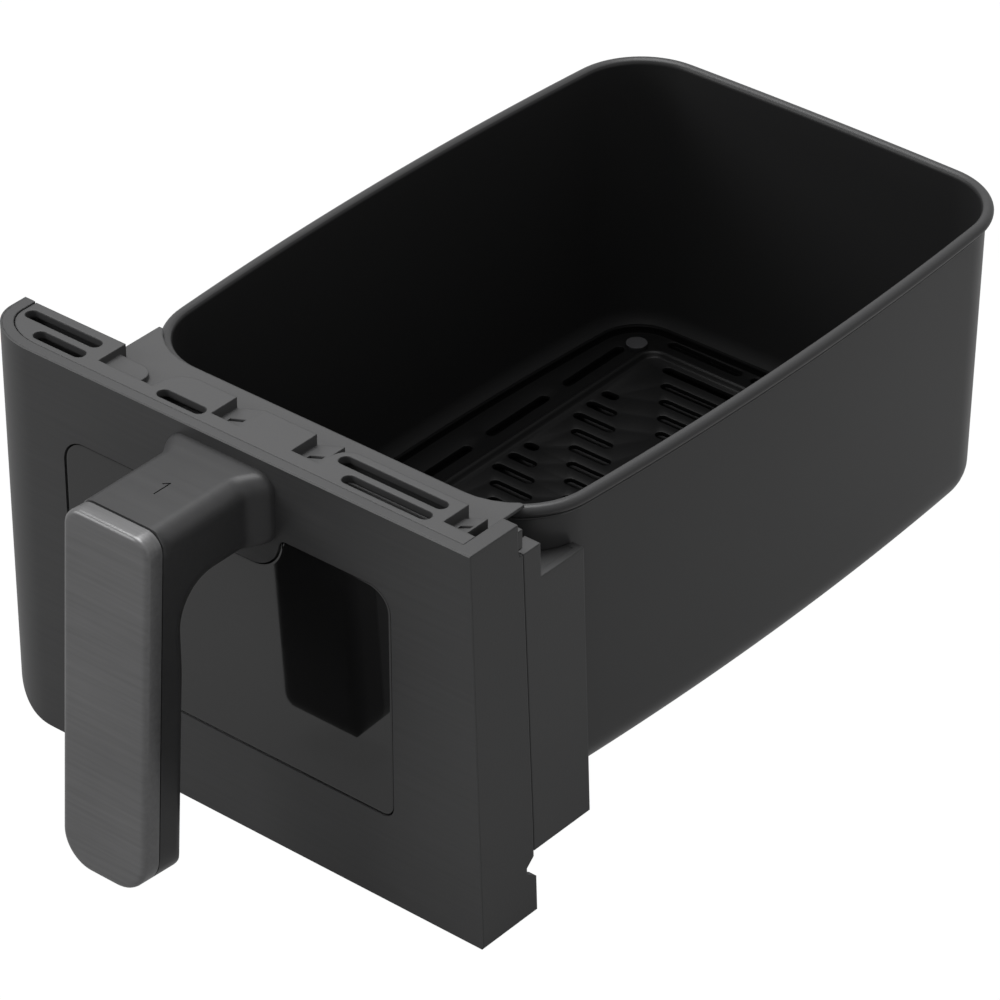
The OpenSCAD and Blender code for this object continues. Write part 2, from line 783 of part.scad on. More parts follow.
// Side cheek, drawn on the right and leaning in with the cover's side: an outer wall, a wall
// behind the cover, a corner block, floors at top and foot, and a rear wall towards the pan
module cheek(front_low, front_top) {
    outline = [front_low, front_top, [cheek_step_y, front_top[1]], [cheek_step_y, cheek_top],
               [cheek_reach, cheek_top], [cheek_reach + cheek_lean, cheek_low]];
    join = cover_t + part_gap;
    in_x = cover_right - join - wall_t - cheek_in;
    intersection() {
        along_x(in_x, cover_right + through)
            polygon(concat([[front_low[0], cheek_low]], outline));
        side_slab(0, wall_t);
    }
    intersection() {
        box([in_x, wall_front, cheek_low], [cover_right, cheek_step_y, side_step_z]);
        side_slab(join, join + wall_t);
    }
    difference() {
        intersection() {
            union() {
                box([in_x, wall_front, cheek_top - cheek_sink - wall_t],
                    [cover_right + through, cheek_reach - eps, cheek_top - cheek_sink]);
                box([in_x, wall_front, cheek_low],
                    [cover_right + through, cheek_reach + cheek_lean - wall_t, cheek_low + wall_t]);
                box([column_x, cheek_clear_y, cheek_top - wall_t],
                    [cover_right + through, cheek_step_y, side_step_z]);
                along_x(in_x, cover_right + through)
                    polygon([[cheek_reach + cheek_lean - wall_t, cheek_low],
                             [cheek_reach + cheek_lean, cheek_low], [cheek_reach, cheek_top],
                             [cheek_reach - wall_t, cheek_top]]);
            }
            side_slab(0, cover_right);
        }
        along_z(0, cover_h)
            polygon(pan_outline(pan_t + part_gap));
        box([in_x - through, 0, 0], [cover_right + through, wall_front - eps, cover_h]);
        intersection() {
            box([in_x, 0, 0], [cover_right + through, cheek_clear_y, cover_h]);
            side_slab(-through, join);
        }
    }
}

module inner_housing() {
    color("dimgray")
        difference() {
            union() {
                along_y(wall_front, wall_back)
                    polygon(cover_face(wall_gap, cover_right - cover_t - part_gap,
                        foot_t + part_gap, rear_strip_under + eps));
                deck();
                cheek([cheek_front_low, side_seam_z], [side_step_y + part_gap, side_step_z]);
                mirror([1, 0, 0])
                    cheek([wall_back - eps, side_seam_z], [wall_back - eps, side_step_z]);
                box([column_x, wall_front, rear_strip_under - column_root],
                    [side_x(cover_h) - cover_t - part_gap, column_y,
                     cover_h - band_h - part_gap]);
                box([column_x, side_top_y + part_gap, rear_strip_under - column_root],
                    [side_x(cover_h) - part_gap, column_y, cover_h - cover_t]);
                box([-cover_left + wall_gap, wall_front, rear_strip_under - eps],
                    [left_block_end, wall_back, cover_h - band_h - part_gap]);
                for (p = housing_bolts())
                    translate([p[0], 0, p[1]])
                        drill_y(housing_boss_r, wall_back - housing_bite - wall_t, wall_front + eps);
            }
            along_y(wall_front - through, wall_back + through)
                plain_window(ledge_w - shroud_t - part_gap);
            for (p = housing_bolts())
                translate([p[0], 0, p[1]])
                    drill_y(screw_r + screw_gap, wall_back - housing_bite, wall_back + through);
            for (p = cover_boss)
                translate([p[0], 0, p[1]])
                    drill_y(screw_r + screw_gap, wall_front - through, wall_back + through);
            for (x = handle_bolt_x)
                translate([x, 0, insert_z])
                    drill_y(handle_screw_r + screw_gap, wall_front - through, wall_back + through);
        }
}

module window_shroud() {
    color("black")
        along_y(ledge_back, shroud_back)
            difference() {
                plain_window(ledge_w - shroud_t);
                plain_window(ledge_w);
            }
}

// ---- front cover, skin and window ----

// What is cut from behind the cover's right side: the stepped edge at the top, the slanting
// seam to the cheek and the small latch notch near the foot
module side_cut() {
    along_x(deck_right - through, cover_right + through)
        polygon([[cover_d + through, notch_low], [cover_d, notch_low],
                 [cover_d - notch_d, notch_low + notch_slope],
                 [cover_d - notch_d, notch_top - notch_slope], [side_seam_low_y, notch_top],
                 [side_seam_low_y, side_seam_z], [side_step_y, side_step_z],
                 [side_top_y, side_step_z], [side_top_y, cover_h + through],
                 [cover_d + through, cover_h + through]]);
}

module front_cover() {
    color("dimgray")
        difference() {
            union() {
                difference() {
                    cover_block(skin_t, cover_right, 0, cover_h, cover_d);
                    cover_block(inside, cover_right - cover_t, foot_t, cover_h + through,
                        cover_d + through);
                    side_cut();
                    box([-cover_left - through, wall_back, -through],
                        [-cover_left + low_corner_r, cover_d + through, cover_h + through]);
                }
                difference() {
                    cover_block(skin_t, cover_right, cover_h - band_h, cover_h, side_top_y);
                    along_z(cover_h - band_h - through, cover_h + through)
                        polygon(cover_plan(band_y, deck_right + groove, cover_d));
                }
                along_y(ledge_y, ledge_back)
                    plain_window(-ledge_w);
                for (p = cover_boss)
                    translate([p[0], 0, p[1]])
                        drill_y(boss_r, inside - boss_root, wall_front);
                for (x = handle_bolt_x)
                    translate([x, 0, insert_z])
                        drill_y(handle_boss_r, inside - boss_root, wall_front);
            }
            along_y(-through, ledge_y)
                window_shape(0);
            along_y(ledge_y - eps, ledge_back + through)
                window_shape(ledge_w);
            for (p = cover_boss)
                translate([p[0], 0, p[1]])
                    drill_y(screw_r + screw_gap, wall_back - cover_screw_l, wall_front + through);
            for (x = handle_bolt_x)
                translate([x, 0, insert_z])
                    drill_y(handle_screw_r + screw_gap, -through, wall_front + through);
        }
}

module cover_screws() {
    color("gainsboro")
        for (p = cover_boss)
            translate([p[0], wall_back, p[1]])
                mirror([0, 1, 0])
                    screw_y(screw_r, screw_head_r, screw_head_h, cover_screw_l);
}

module fascia_skin() {
    color("gray")
        difference() {
            cover_block(0, cover_right, 0, cover_h, wall_back);
            cover_block(skin_t, cover_right + through, -through, cover_h + through,
                cover_d + through);
            along_y(-through, skin_t + through)
                window_shape(0);
            for (x = handle_bolt_x)
                translate([x, 0, insert_z])
                    drill_y(handle_screw_r + screw_gap, -through, skin_t + through);
        }
}

module window_pane() {
    color("darkslategray")
        along_y(pane_front, pane_back)
            window_shape(pane_gap);
}

module pane_gasket() {
    color("black")
        along_y(pane_back, ledge_y)
            difference() {
                window_shape(2 * pane_gap);
                window_shape(ledge_w);
            }
}

// ---- handle ----

// Places a shape drawn upright, with its front at y = 0 and its top at z = 0, as the leant grip
module grip_frame() {
    translate([handle_x, -grip_out, neck_top])
        rotate([-lean, 0, 0])
            children();
}

function grip_outline(d) = round_rect(-grip_w / 2 + d, grip_w / 2 - d, -grip_l + d, -d,
    grip_low_r - d, grip_top_r - d);

function neck_outline(spread) = round_rect(handle_x - grip_w / 2 - spread,
    handle_x + grip_w / 2 + spread, neck_low - spread / 4, neck_top + spread / 4, neck_r, neck_r);

module handle_shell() {
    color("black")
        difference() {
            union() {
                grip_frame()
                    along_y(shell_y, grip_d)
                        polygon(grip_outline(0));
                along_y(neck_end, 0)
                    polygon(neck_outline(0));
                hull() {
                    along_y(-eps, 0)
                        polygon(neck_outline(root_flare));
                    along_y(-root_l, eps - root_l)
                        polygon(neck_outline(0));
                }
                along_x(handle_x - grip_w / 2, handle_x + grip_w / 2)
                    polygon(concat([[grip_back_y - neck_h * tan(lean) - 1, neck_low + 1],
                                    [finger_y, neck_low + 1]],
                        arc([finger_y, finger_z], finger_r, 90, 180 - lean, corner_steps),
                        [[grip_back_y - neck_h * tan(lean) - 2, finger_z]]));
            }
            grip_frame() {
                difference() {
                    along_y(0, grip_d - grip_t)
                        polygon(grip_outline(grip_t));
                    for (z = grip_screw_z)
                        translate([0, 0, z])
                            drill_y(grip_boss_r, cap_boss_end, grip_d);
                }
                for (z = grip_screw_z)
                    translate([0, 0, z]) {
                        drill_y(screw_r + screw_gap, 0, grip_d);
                        drill_y(screw_head_r + screw_gap, head_seat, grip_d + through);
                    }
            }
            box([handle_x - insert_hw - part_gap, neck_end - through, insert_z - insert_hh - part_gap],
                [handle_x + insert_hw + part_gap, -grip_t, insert_z + insert_hh + part_gap]);
            for (x = handle_bolt_x)
                translate([x, 0, insert_z])
                    drill_y(handle_screw_r + screw_gap, -root_l, through);
            number_one();
        }
}

// The zone number 1 on top of the neck: a stroke and its flag, cut into the surface
module number_one() {
    along_z(neck_top - number_depth, neck_top + through)
        translate([handle_x, number_y]) {
            square([number_line, number_h]);
            polygon([[0, number_h], [-number_flag, number_h - number_flag],
                     [-number_flag, number_h - number_flag - number_line],
                     [number_line, number_h - number_line]]);
        }
}

// Steel bar in the neck that takes the handle screws
module handle_insert() {
    color("silver")
        difference() {
            box([handle_x - insert_hw, neck_end + grip_t, insert_z - insert_hh],
                [handle_x + insert_hw, -grip_t - part_gap, insert_z + insert_hh]);
            for (x = handle_bolt_x)
                translate([x, 0, insert_z])
                    drill_y(handle_screw_r + screw_gap, neck_end, through);
        }
}

module handle_screws() {
    color("gainsboro")
        for (x = handle_bolt_x)
            translate([x, wall_back, insert_z])
                mirror([0, 1, 0])
                    screw_y(handle_screw_r, handle_head_r, handle_head_h, wall_back + handle_bite);
}

module grip_cap() {
    color("gray")
        grip_frame()
            difference() {
                union() {
                    difference() {
                        hull() {
                            along_y(cap_edge, cap_d)
                                polygon(grip_outline(0));
                            along_y(0, eps)
                                polygon(grip_outline(cap_edge));
                        }
                        along_y(grip_t, cap_d + through)
                            polygon(grip_outline(grip_t));
                    }
                    for (z = grip_screw_z)
                        translate([0, 0, z])
                            drill_y(grip_boss_r, grip_t - eps, cap_boss_end - seam);
                }
                for (z = grip_screw_z)
                    translate([0, 0, z])
                        drill_y(screw_r + screw_gap, grip_t + seam, cap_d + grip_d);
            }
}

module grip_screws() {
    color("gainsboro")
        grip_frame()
            for (z = grip_screw_z)
                translate([0, head_seat, z])
                    mirror([0, 1, 0])
                        screw_y(screw_r, screw_head_r, screw_head_h, head_seat - grip_t - 2 * seam);
}

// ---- crisper ----

// How far the pan's inner wall stands in from the rim at height h above the inner floor
function wall_in(h) = let (r = floor_r - pan_t)
    -draft - r + sqrt(r * r - pow(max(r - h, 0), 2));

// The slots of one row, left of the spine, as [from, to] pairs between the diagonal ribs
function rib_left(j, y) = rib_x - (y - rib_first + j * rib_pitch) / rib_slope;

function row_slots(y) = [for (j = [-1:rib_count])
    let (rib_right = rib_left(j + 1, y) + (j < 0 ? first_rib_w : rib_w))
    let (from = max(-field_hw, rib_right) + slot_w / 2)
    let (to = min(-spine_hw, j < 0 ? 0 : rib_left(j, y)) - slot_w / 2)
    if (to - from > slot_w / 2) [from, to]];

module slot(x0, x1, y) {
    polygon(concat(arc([x0, y], slot_w / 2, 90, 270, slot_steps),
                   arc([x1, y], slot_w / 2, -90, 90, slot_steps)));
}

module ring_slots(from, to, count) {
    for (i = [0:count - 1])
        let (middle = from + (to - from) * (i + 0.5) / count)
            slot(middle - ring_slot_l / 2, middle + ring_slot_l / 2, 0);
}

module crisper_slots() {
    for (side = [0, 1])
        mirror([side, 0]) {
            for (k = [0:row_count - 1])
                for (s = row_slots(field_back - k * slot_pitch))
                    slot(s[0], s[1], field_back - k * slot_pitch);
            translate([ring_x, 0])
                rotate(90)
                    ring_slots(ridge_y_front, ridge_y_back, side_slot_count);
        }
    for (y = [ring_y_front, ring_y_back])
        translate([0, y])
            ring_slots(-ridge_x, ridge_x, end_slot_count);
}

function bumper_places() = let (reach = (pan_r + bumper_inset) * sin(45))
    [for (x = [-1, 1]) for (y = [[front_corner_y, -1], [back_corner_y, 1]])
        [x * (corner_x + reach), y[0] + y[1] * reach]];

module crisper_plate() {
    color("dimgray")
        difference() {
            union() {
                along_z(crisper_z - crisper_t, crisper_z)
                    polygon(pan_outline(crisper_inset));
                along_z(crisper_z - eps, crisper_z + rim_lip_h)
                    difference() {
                        polygon(pan_outline(crisper_inset));
                        polygon(pan_outline(crisper_inset - rim_lip_w));
                    }
                along_z(crisper_z - eps, crisper_z + ridge_h)
                    difference() {
                        ridge_outline(ridge_w / 2);
                        ridge_outline(-ridge_w / 2);
                    }
            }
            along_z(crisper_z - crisper_t - through, crisper_z + through)
                crisper_slots();
            for (p = bumper_places())
                translate([p[0], p[1], crisper_z - crisper_t - through])
                    cylinder(r = bumper_stem_r, h = crisper_t + 2 * through);
        }
}

module ridge_outline(d) {
    polygon(round_rect(-ridge_x - d, ridge_x + d, ridge_y_front - d, ridge_y_back + d,
        ridge_r + d, ridge_r + d));
}

// Silicone buttons through the plate, whose feet stand on the pan's floor
module crisper_bumpers() {
    color("darkslategray")
        for (p = bumper_places())
            translate([p[0], p[1], pan_floor_z + foot_gap]) {
                cylinder(r = bumper_r, h = foot_h - foot_gap);
                cylinder(r = bumper_stem_r - screw_gap, h = foot_h + crisper_t);
                translate([0, 0, crisper_rise - foot_gap])
                    cylinder(r = bumper_r, h = crisper_t);
            }
}

placed() pan_shell();
placed() sight_glass();
placed() sight_gasket();
placed() sight_frame();
placed() sight_screws();
placed() upper_bracket();
placed() lower_bracket();
placed() bracket_screws();
placed() inner_housing();
placed() housing_screws();
placed() window_shroud();
placed() front_cover();
placed() cover_screws();
placed() fascia_skin();
placed() window_pane();
placed() pane_gasket();
placed() handle_shell();
placed() handle_insert();
placed() handle_screws();
placed() grip_cap();
placed() grip_screws();
placed() crisper_plate();
placed() crisper_bumpers();
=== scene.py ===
import math

import bmesh
import bpy
import numpy as np
from mathutils import Matrix, Vector
from mathutils.geometry import delaunay_2d_cdt


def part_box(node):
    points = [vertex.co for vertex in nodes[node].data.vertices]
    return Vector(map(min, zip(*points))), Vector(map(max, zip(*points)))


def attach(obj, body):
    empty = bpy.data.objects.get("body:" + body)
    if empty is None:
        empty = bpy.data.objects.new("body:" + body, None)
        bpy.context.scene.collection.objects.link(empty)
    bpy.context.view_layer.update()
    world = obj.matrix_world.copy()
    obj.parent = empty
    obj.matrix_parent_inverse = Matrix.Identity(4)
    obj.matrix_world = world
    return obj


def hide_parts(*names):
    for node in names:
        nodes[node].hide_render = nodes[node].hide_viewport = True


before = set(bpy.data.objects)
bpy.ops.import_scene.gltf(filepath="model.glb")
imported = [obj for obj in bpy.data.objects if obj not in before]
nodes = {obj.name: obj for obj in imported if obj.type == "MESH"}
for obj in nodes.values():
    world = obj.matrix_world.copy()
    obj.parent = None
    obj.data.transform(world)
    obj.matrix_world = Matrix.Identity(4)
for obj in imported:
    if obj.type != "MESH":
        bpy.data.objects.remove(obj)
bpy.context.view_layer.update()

# ---- The pan ----
# A deep drawn aluminium pan with bowed sides, a rolled rim and a mounting pad on its front wall.
# It is coated all over in satin grey, and its inner faces are painted black as painted shade of
# the pan's hollow. Two brackets carry it by the pad, and the rounded opening in the pad is the
# inner window.
pan_low, pan_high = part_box("pan_shell")
MM, DEGREE = 0.001, math.pi / 180
SKIN_T = 0.6  # the brushed skin's thickness, and how far it stands in front of the cover
PAN_X = (pan_low.x + pan_high.x) / 2
FRONT_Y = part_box("front_cover")[0].y - SKIN_T * MM


def at(x, y, z):
    """A point given in millimetres from the pan's centre line, the cover's front plane and the
    cover's foot, as a point of the frame in metres."""
    return np.stack(np.broadcast_arrays(PAN_X + np.asarray(x, float) * MM,
                                        FRONT_Y + np.asarray(y, float) * MM,
                                        np.asarray(z, float) * MM), -1)


def arc(cx, cy, r, start, end, count):
    """Points at centre + r (cos a, sin a), and their outward normals, for count angles a from
    start to end in degrees."""
    a = np.radians(np.linspace(start, end, count))
    out = np.stack([np.cos(a), np.sin(a)], 1)
    return np.array([cx, cy]) + r * out, out


def joined(*arcs):
    """One closed outline from arcs of (points, normals), in order."""
    return np.concatenate([a[0] for a in arcs]), np.concatenate([a[1] for a in arcs])


def finish_mesh(name, points, faces, body, material, crease=35):
    """A piece from an array of points and a list of faces: doubles merged, normals turned
    outwards, smooth except across edges sharper than crease degrees."""
    mesh = bpy.data.meshes.new(name)
    mesh.from_pydata(np.asarray(points).reshape(-1, 3).tolist(), [], faces)
    work = bmesh.new()
    work.from_mesh(mesh)
    bmesh.ops.remove_doubles(work, verts=work.verts, dist=1e-7)
    bmesh.ops.recalc_face_normals(work, faces=work.faces)
    work.to_mesh(mesh)
    work.free()
    mesh.shade_smooth()
    mesh.set_sharp_from_angle(angle=crease * DEGREE)
    piece = bpy.data.objects.new(name, mesh)
    bpy.context.scene.collection.objects.link(piece)
    mesh.materials.append(material)
    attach(piece, body)
    return piece


def strip_faces(rows, columns, closed=True, first=0):
    """Quads between neighbouring rows of a grid whose columns run round a closed loop."""
    r, c = np.meshgrid(np.arange(rows - 1), np.arange(columns if closed else columns - 1),
                       indexing="ij")
    n = (c + 1) % columns
    quads = np.stack([r * columns + c, r * columns + n, (r + 1) * columns + n,
                      (r + 1) * columns + c], -1).reshape(-1, 4)
    return (quads + first).tolist()


def carried(outline, profile, lift):
    """A closed skin: each profile entry (d, h) moves the whole outline out by d along its
    normals and to height h, and lift turns (u, v, h) into a point. Both ends are closed by
    one flat face."""
    path, out = outline
    rings = [lift(path[:, 0] + d * out[:, 0], path[:, 1] + d * out[:, 1], h)
             for d, h in profile]
    n = len(path)
    faces = strip_faces(len(rings), n)
    faces.append(list(range(n)))
    faces.append(list(range((len(rings) - 1) * n, len(rings) * n)))
    return np.concatenate(rings), faces


def tube(outline, profile, lift):
    """A closed ring: as carried, but the profile closes on itself, so there are no end faces."""
    path, out = outline
    rings = [lift(path[:, 0] + d * out[:, 0], path[:, 1] + d * out[:, 1], h)
             for d, h in list(profile) + [profile[0]]]
    return np.concatenate(rings), strip_faces(len(rings), len(path))


def round_corners(x0, x1, y0, y1, low_r, top_r, count=10):
    """A rectangle's outline with one radius for its two lower corners, one for its upper."""
    return joined(arc(x0 + low_r, y0 + low_r, low_r, 180, 270, count),
                  arc(x1 - low_r, y0 + low_r, low_r, 270, 360, count),
                  arc(x1 - top_r, y1 - top_r, top_r, 0, 90, count),
                  arc(x0 + top_r, y1 - top_r, top_r, 90, 180, count))


def cut(piece, cutter):
    """Takes cutter's volume out of piece, and removes cutter."""
    knife = piece.modifiers.new("cut", "BOOLEAN")
    knife.operation = "DIFFERENCE"
    knife.solver = "EXACT"
    knife.object = cutter
    bpy.context.view_layer.update()
    shaped = bpy.data.meshes.new_from_object(
        piece.evaluated_get(bpy.context.evaluated_depsgraph_get()))
    piece.modifiers.clear()
    piece.data = shaped
    bpy.data.objects.remove(cutter)


def plain_solid(points, faces):
    """A throw-away solid for cut()."""
    mesh = bpy.data.meshes.new("cutter")
    mesh.from_pydata(np.asarray(points).tolist(), [], faces)
    work = bmesh.new()
    work.from_mesh(mesh)
    bmesh.ops.recalc_face_normals(work, faces=work.faces)
    work.to_mesh(mesh)
    work.free()
    solid = bpy.data.objects.new("cutter", mesh)
    bpy.context.scene.collection.objects.link(solid)
    return solid


def new_group(name, inputs, outputs):
    """An empty shader group with float inputs {name: value} and outputs {name: socket type}."""
    group = bpy.data.node_groups.new(name, "ShaderNodeTree")
    for label, value in inputs.items():
        socket = group.interface.new_socket(name=label, in_out="INPUT",
                                            socket_type="NodeSocketFloat")
        socket.default_value = value
    for label, kind in outputs.items():
        group.interface.new_socket(name=label, in_out="OUTPUT", socket_type=kind)
    return group, group.nodes.new("NodeGroupInput"), group.nodes.new("NodeGroupOutput")


def object_noise(tree, scale, detail=3.0, stretch=(1, 1, 1)):
    """Noise over Object coordinates, stretched along the axes; scale is a number or a socket."""
    place = tree.nodes.new("ShaderNodeTexCoord")
    turn = tree.nodes.new("ShaderNodeMapping")
    turn.inputs["Scale"].default_value = stretch
    noise = tree.nodes.new("ShaderNodeTexNoise")
    noise.inputs["Detail"].default_value = detail
    tree.links.new(place.outputs["Object"], turn.inputs["Vector"])
    tree.links.new(turn.outputs["Vector"], noise.inputs["Vector"])
    if isinstance(scale, (int, float)):
        noise.inputs["Scale"].default_value = scale
    else:
        tree.links.new(scale, noise.inputs["Scale"])
    return noise.outputs["Fac"]


def ramp(tree, value, low, high):
    """A value near 0.5, such as noise, spread between two numbers over its usual reach of 0.3 to
    0.7; or a 0 to 1 value turned into a mix of two colours."""
    if isinstance(low, (int, float)):
        node = tree.nodes.new("ShaderNodeMapRange")
        node.inputs["From Min"].default_value = 0.3
        node.inputs["From Max"].default_value = 0.7
        node.inputs["To Min"].default_value = low
        node.inputs["To Max"].default_value = high
        tree.links.new(value, node.inputs["Value"])
        return node.outputs["Result"]
    node = tree.nodes.new("ShaderNodeMix")
    node.data_type = "RGBA"
    node.inputs["A"].default_value = (*low, 1)
    node.inputs["B"].default_value = (*high, 1)
    tree.links.new(value, node.inputs["Factor"])
    return node.outputs["Result"]


# Fine grain: the mist of a sprayed coating or the spark texture of moulded plastic.
grain, grain_in, grain_out = new_group(
    "fine_grain", {"Grain Scale": 1500.0, "Cloud Scale": 14.0},
    {"Height": "NodeSocketFloat", "Cloud": "NodeSocketFloat"})
for scale_name, detail, result in (("Grain Scale", 4.0, "Height"), ("Cloud Scale", 5.0, "Cloud")):
    grain.links.new(object_noise(grain, grain_in.outputs[scale_name], detail),
                    grain_out.inputs[result])


def new_material(name, roughness, metallic=0.0, specular=0.5):
    """A material with one Principled BSDF whose constants sit on its own sockets."""
    material = bpy.data.materials.new(name)
    material.use_nodes = True
    tree = material.node_tree
    shader = tree.nodes["Principled BSDF"]
    shader.inputs["Roughness"].default_value = roughness
    shader.inputs["Metallic"].default_value = metallic
    shader.inputs["Specular IOR Level"].default_value = specular
    return material, tree, shader


def raise_surface(tree, shader, height, depth, strength, edge_radius=0.0):
    """Fine relief, depth metres high, from a height socket. edge_radius rounds a solid's sharp
    edges in the shading."""
    bump = tree.nodes.new("ShaderNodeBump")
    bump.inputs["Distance"].default_value = depth
    bump.inputs["Strength"].default_value = strength
    tree.links.new(height, bump.inputs["Height"])
    if edge_radius:
        edge = tree.nodes.new("ShaderNodeBevel")
        edge.samples = 6
        edge.inputs["Radius"].default_value = edge_radius
        tree.links.new(edge.outputs["Normal"], bump.inputs["Normal"])
    tree.links.new(bump.outputs["Normal"], shader.inputs["Normal"])


def coating(name, outside, inside, roughness):
    """The pan's coating: its own grey where the attribute named lit is 1, and black painted shade
    where it is 0.
    """
    material, tree, shader = new_material(name, roughness, specular=0.22)
    texture = tree.nodes.new("ShaderNodeGroup")
    texture.node_tree = grain
    texture.inputs["Grain Scale"].default_value = 2600.0
    texture.inputs["Cloud Scale"].default_value = 9.0
    side = tree.nodes.new("ShaderNodeAttribute")
    side.attribute_name = "lit"
    grey = ramp(tree, texture.outputs["Cloud"], tuple(0.93 * c for c in outside), outside)
    mix = tree.nodes.new("ShaderNodeMix")
    mix.data_type = "RGBA"
    mix.inputs["A"].default_value = (*inside, 1)
    tree.links.new(grey, mix.inputs["B"])
    tree.links.new(side.outputs["Fac"], mix.inputs["Factor"])
    tree.links.new(mix.outputs["Result"], shader.inputs["Base Color"])
    tree.links.new(ramp(tree, texture.outputs["Cloud"], roughness - 0.03, roughness + 0.04),
                   shader.inputs["Roughness"])
    raise_surface(tree, shader, texture.outputs["Height"], 0.00003, 0.5)
    return material


PAN_FRONT, PAN_BACK, RIM_Z, PAN_Z = 32.0, 259.8, 126.6, 24.0
PAN_HALF, CORNER_R, SIDE_BOW, BACK_BOW = 76.8, 22.5, 3.3, 0.6
WALL_T, DRAFT, FLOOR_R, BEAD_R = 1.5, 1.7, 12.0, 1.9
PAD_Y, PAD_HALF, PAD_LOW, PAD_TOP, PAD_RIM = 29.8, 49.0, 29.0, 117.0, 7.5
SIGHT_X, SIGHT_Z, SIGHT_HW, SIGHT_HH, SIGHT_R = -2.0, 73.0, 36.0, 21.0, 8.0
ARC_N, CORNER_N = 12, 20
# The step where the wall's top runs into the rolled rim: out from the wall, and up from its top.
RIM_STEP = ((0.25, 0.25), (0.75, 0.4), (0.9, 0.7), (0.75, 1.0), (0.2, 1.15))
RIM_STEP_H = 1.5

corner_x = PAN_HALF - SIDE_BOW - CORNER_R
front_corner_y = PAN_FRONT + CORNER_R
back_corner_y = PAN_BACK - BACK_BOW - CORNER_R
side_half = (back_corner_y - front_corner_y) / 2
side_mid = (back_corner_y + front_corner_y) / 2
side_r = (side_half ** 2 + SIDE_BOW ** 2) / (2 * SIDE_BOW)
side_turn = math.degrees(math.asin(side_half / side_r))
side_x = corner_x + SIDE_BOW - side_r
back_r = (corner_x ** 2 + BACK_BOW ** 2) / (2 * BACK_BOW)
back_turn = math.degrees(math.asin(corner_x / back_r))
back_y = back_corner_y + BACK_BOW - back_r
front_x = np.linspace(-corner_x, corner_x, 26)[1:-1]
pan_outline = joined(
    arc(corner_x, front_corner_y, CORNER_R, 270, 360 - side_turn, CORNER_N),
    tuple(a[1:-1] for a in arc(side_x, side_mid, side_r + CORNER_R, -side_turn, side_turn, 50)),
    arc(corner_x, back_corner_y, CORNER_R, side_turn, 90 - back_turn, CORNER_N),
    tuple(a[1:-1] for a in arc(0, back_y, back_r + CORNER_R, 90 - back_turn, 90 + back_turn, 34)),
    arc(-corner_x, back_corner_y, CORNER_R, 90 + back_turn, 180 - side_turn, CORNER_N),
    tuple(a[1:-1] for a in arc(-side_x, side_mid, side_r + CORNER_R, 180 - side_turn,
                               180 + side_turn, 50)),
    arc(-corner_x, front_corner_y, CORNER_R, 180 + side_turn, 270, CORNER_N),
    (np.stack([front_x, np.full_like(front_x, PAN_FRONT)], 1),
     np.tile([0.0, -1.0], (len(front_x), 1))))

# The wall's section: up the outside from the floor, round the rolled rim and down the inside.
wall_top = RIM_Z - 2 * BEAD_R - RIM_STEP_H
floor_top = PAN_Z + FLOOR_R
bead_z = RIM_Z - BEAD_R
inner_r = FLOOR_R - WALL_T
outer_side = [*arc(WALL_T - DRAFT - FLOOR_R, floor_top, FLOOR_R, 270, 360, ARC_N)[0],
              *[(WALL_T - DRAFT * (1 - t), floor_top + t * (wall_top - floor_top))
                for t in np.linspace(0, 1, ARC_N)[1:]],
              *[(WALL_T + d, wall_top + h) for d, h in RIM_STEP]]
bead = arc(BEAD_R, bead_z, BEAD_R, -62, 180, 26)[0]
inner_side = [*[(-DRAFT * t, bead_z - t * (bead_z - floor_top))
                for t in np.linspace(0, 1, ARC_N)[1:-1]],
              *arc(-DRAFT - inner_r, floor_top, inner_r, 360, 270, ARC_N)[0]]
# The grey is the coating's own colour. The black is painted shade for the pan's inner faces.
coat_grey, painted_shade_black = (0.06, 0.06, 0.061), (0.026, 0.026, 0.0264)
pan_shade_and_coat = coating("pan_coating", coat_grey, painted_shade_black, 0.33)
points, faces = carried(pan_outline, [*outer_side, *bead, *inner_side], at)
pan = finish_mesh("pan_body", points, faces, "drawer", pan_shade_and_coat)


def facing_front(u, v, h):
    """Turns an outline in X and Z at depth h into points of the frame."""
    return at(u, h, v)


def light_up(piece, values):
    """Keeps one number per vertex in the attribute named lit, which the coating reads: 1 for its
    grey, 0 for painted shade.
    """
    mask = piece.data.attributes.new("lit", "FLOAT", "POINT")
    mask.data.foreach_set("value", values)


def on_outside(co):
    """True for points on the pan's outer face. Their distance along the outline's normal, with
    the wall's draft taken off, is past the middle of the wall; in the floor's rounding the
    radius about its centre decides."""
    plan = at(*pan_outline[0].T, 0)[:, :2]
    nearest = np.abs(co[:, None, :2] - plan[None, ::3]).sum(2).argmin(1) * 3
    offset = ((co[:, :2] - plan[nearest]) * pan_outline[1][nearest]).sum(1) / MM
    lean_out = DRAFT * (RIM_Z * MM - co[:, 2]) / ((RIM_Z - PAN_Z) * MM)
    near_floor = np.clip(floor_top * MM - co[:, 2], 0, None) / MM
    outer = (offset > WALL_T / 2 - lean_out - 0.3) | (co[:, 2] < (PAN_Z + WALL_T / 2) * MM)
    curved = near_floor > 0
    radial = np.hypot(offset + DRAFT + inner_r, near_floor)
    outer[curved] = ((radial[curved] > FLOOR_R - WALL_T / 2 + 0.3)
                     | (co[curved, 2] < (PAN_Z + 0.7) * MM))
    return outer


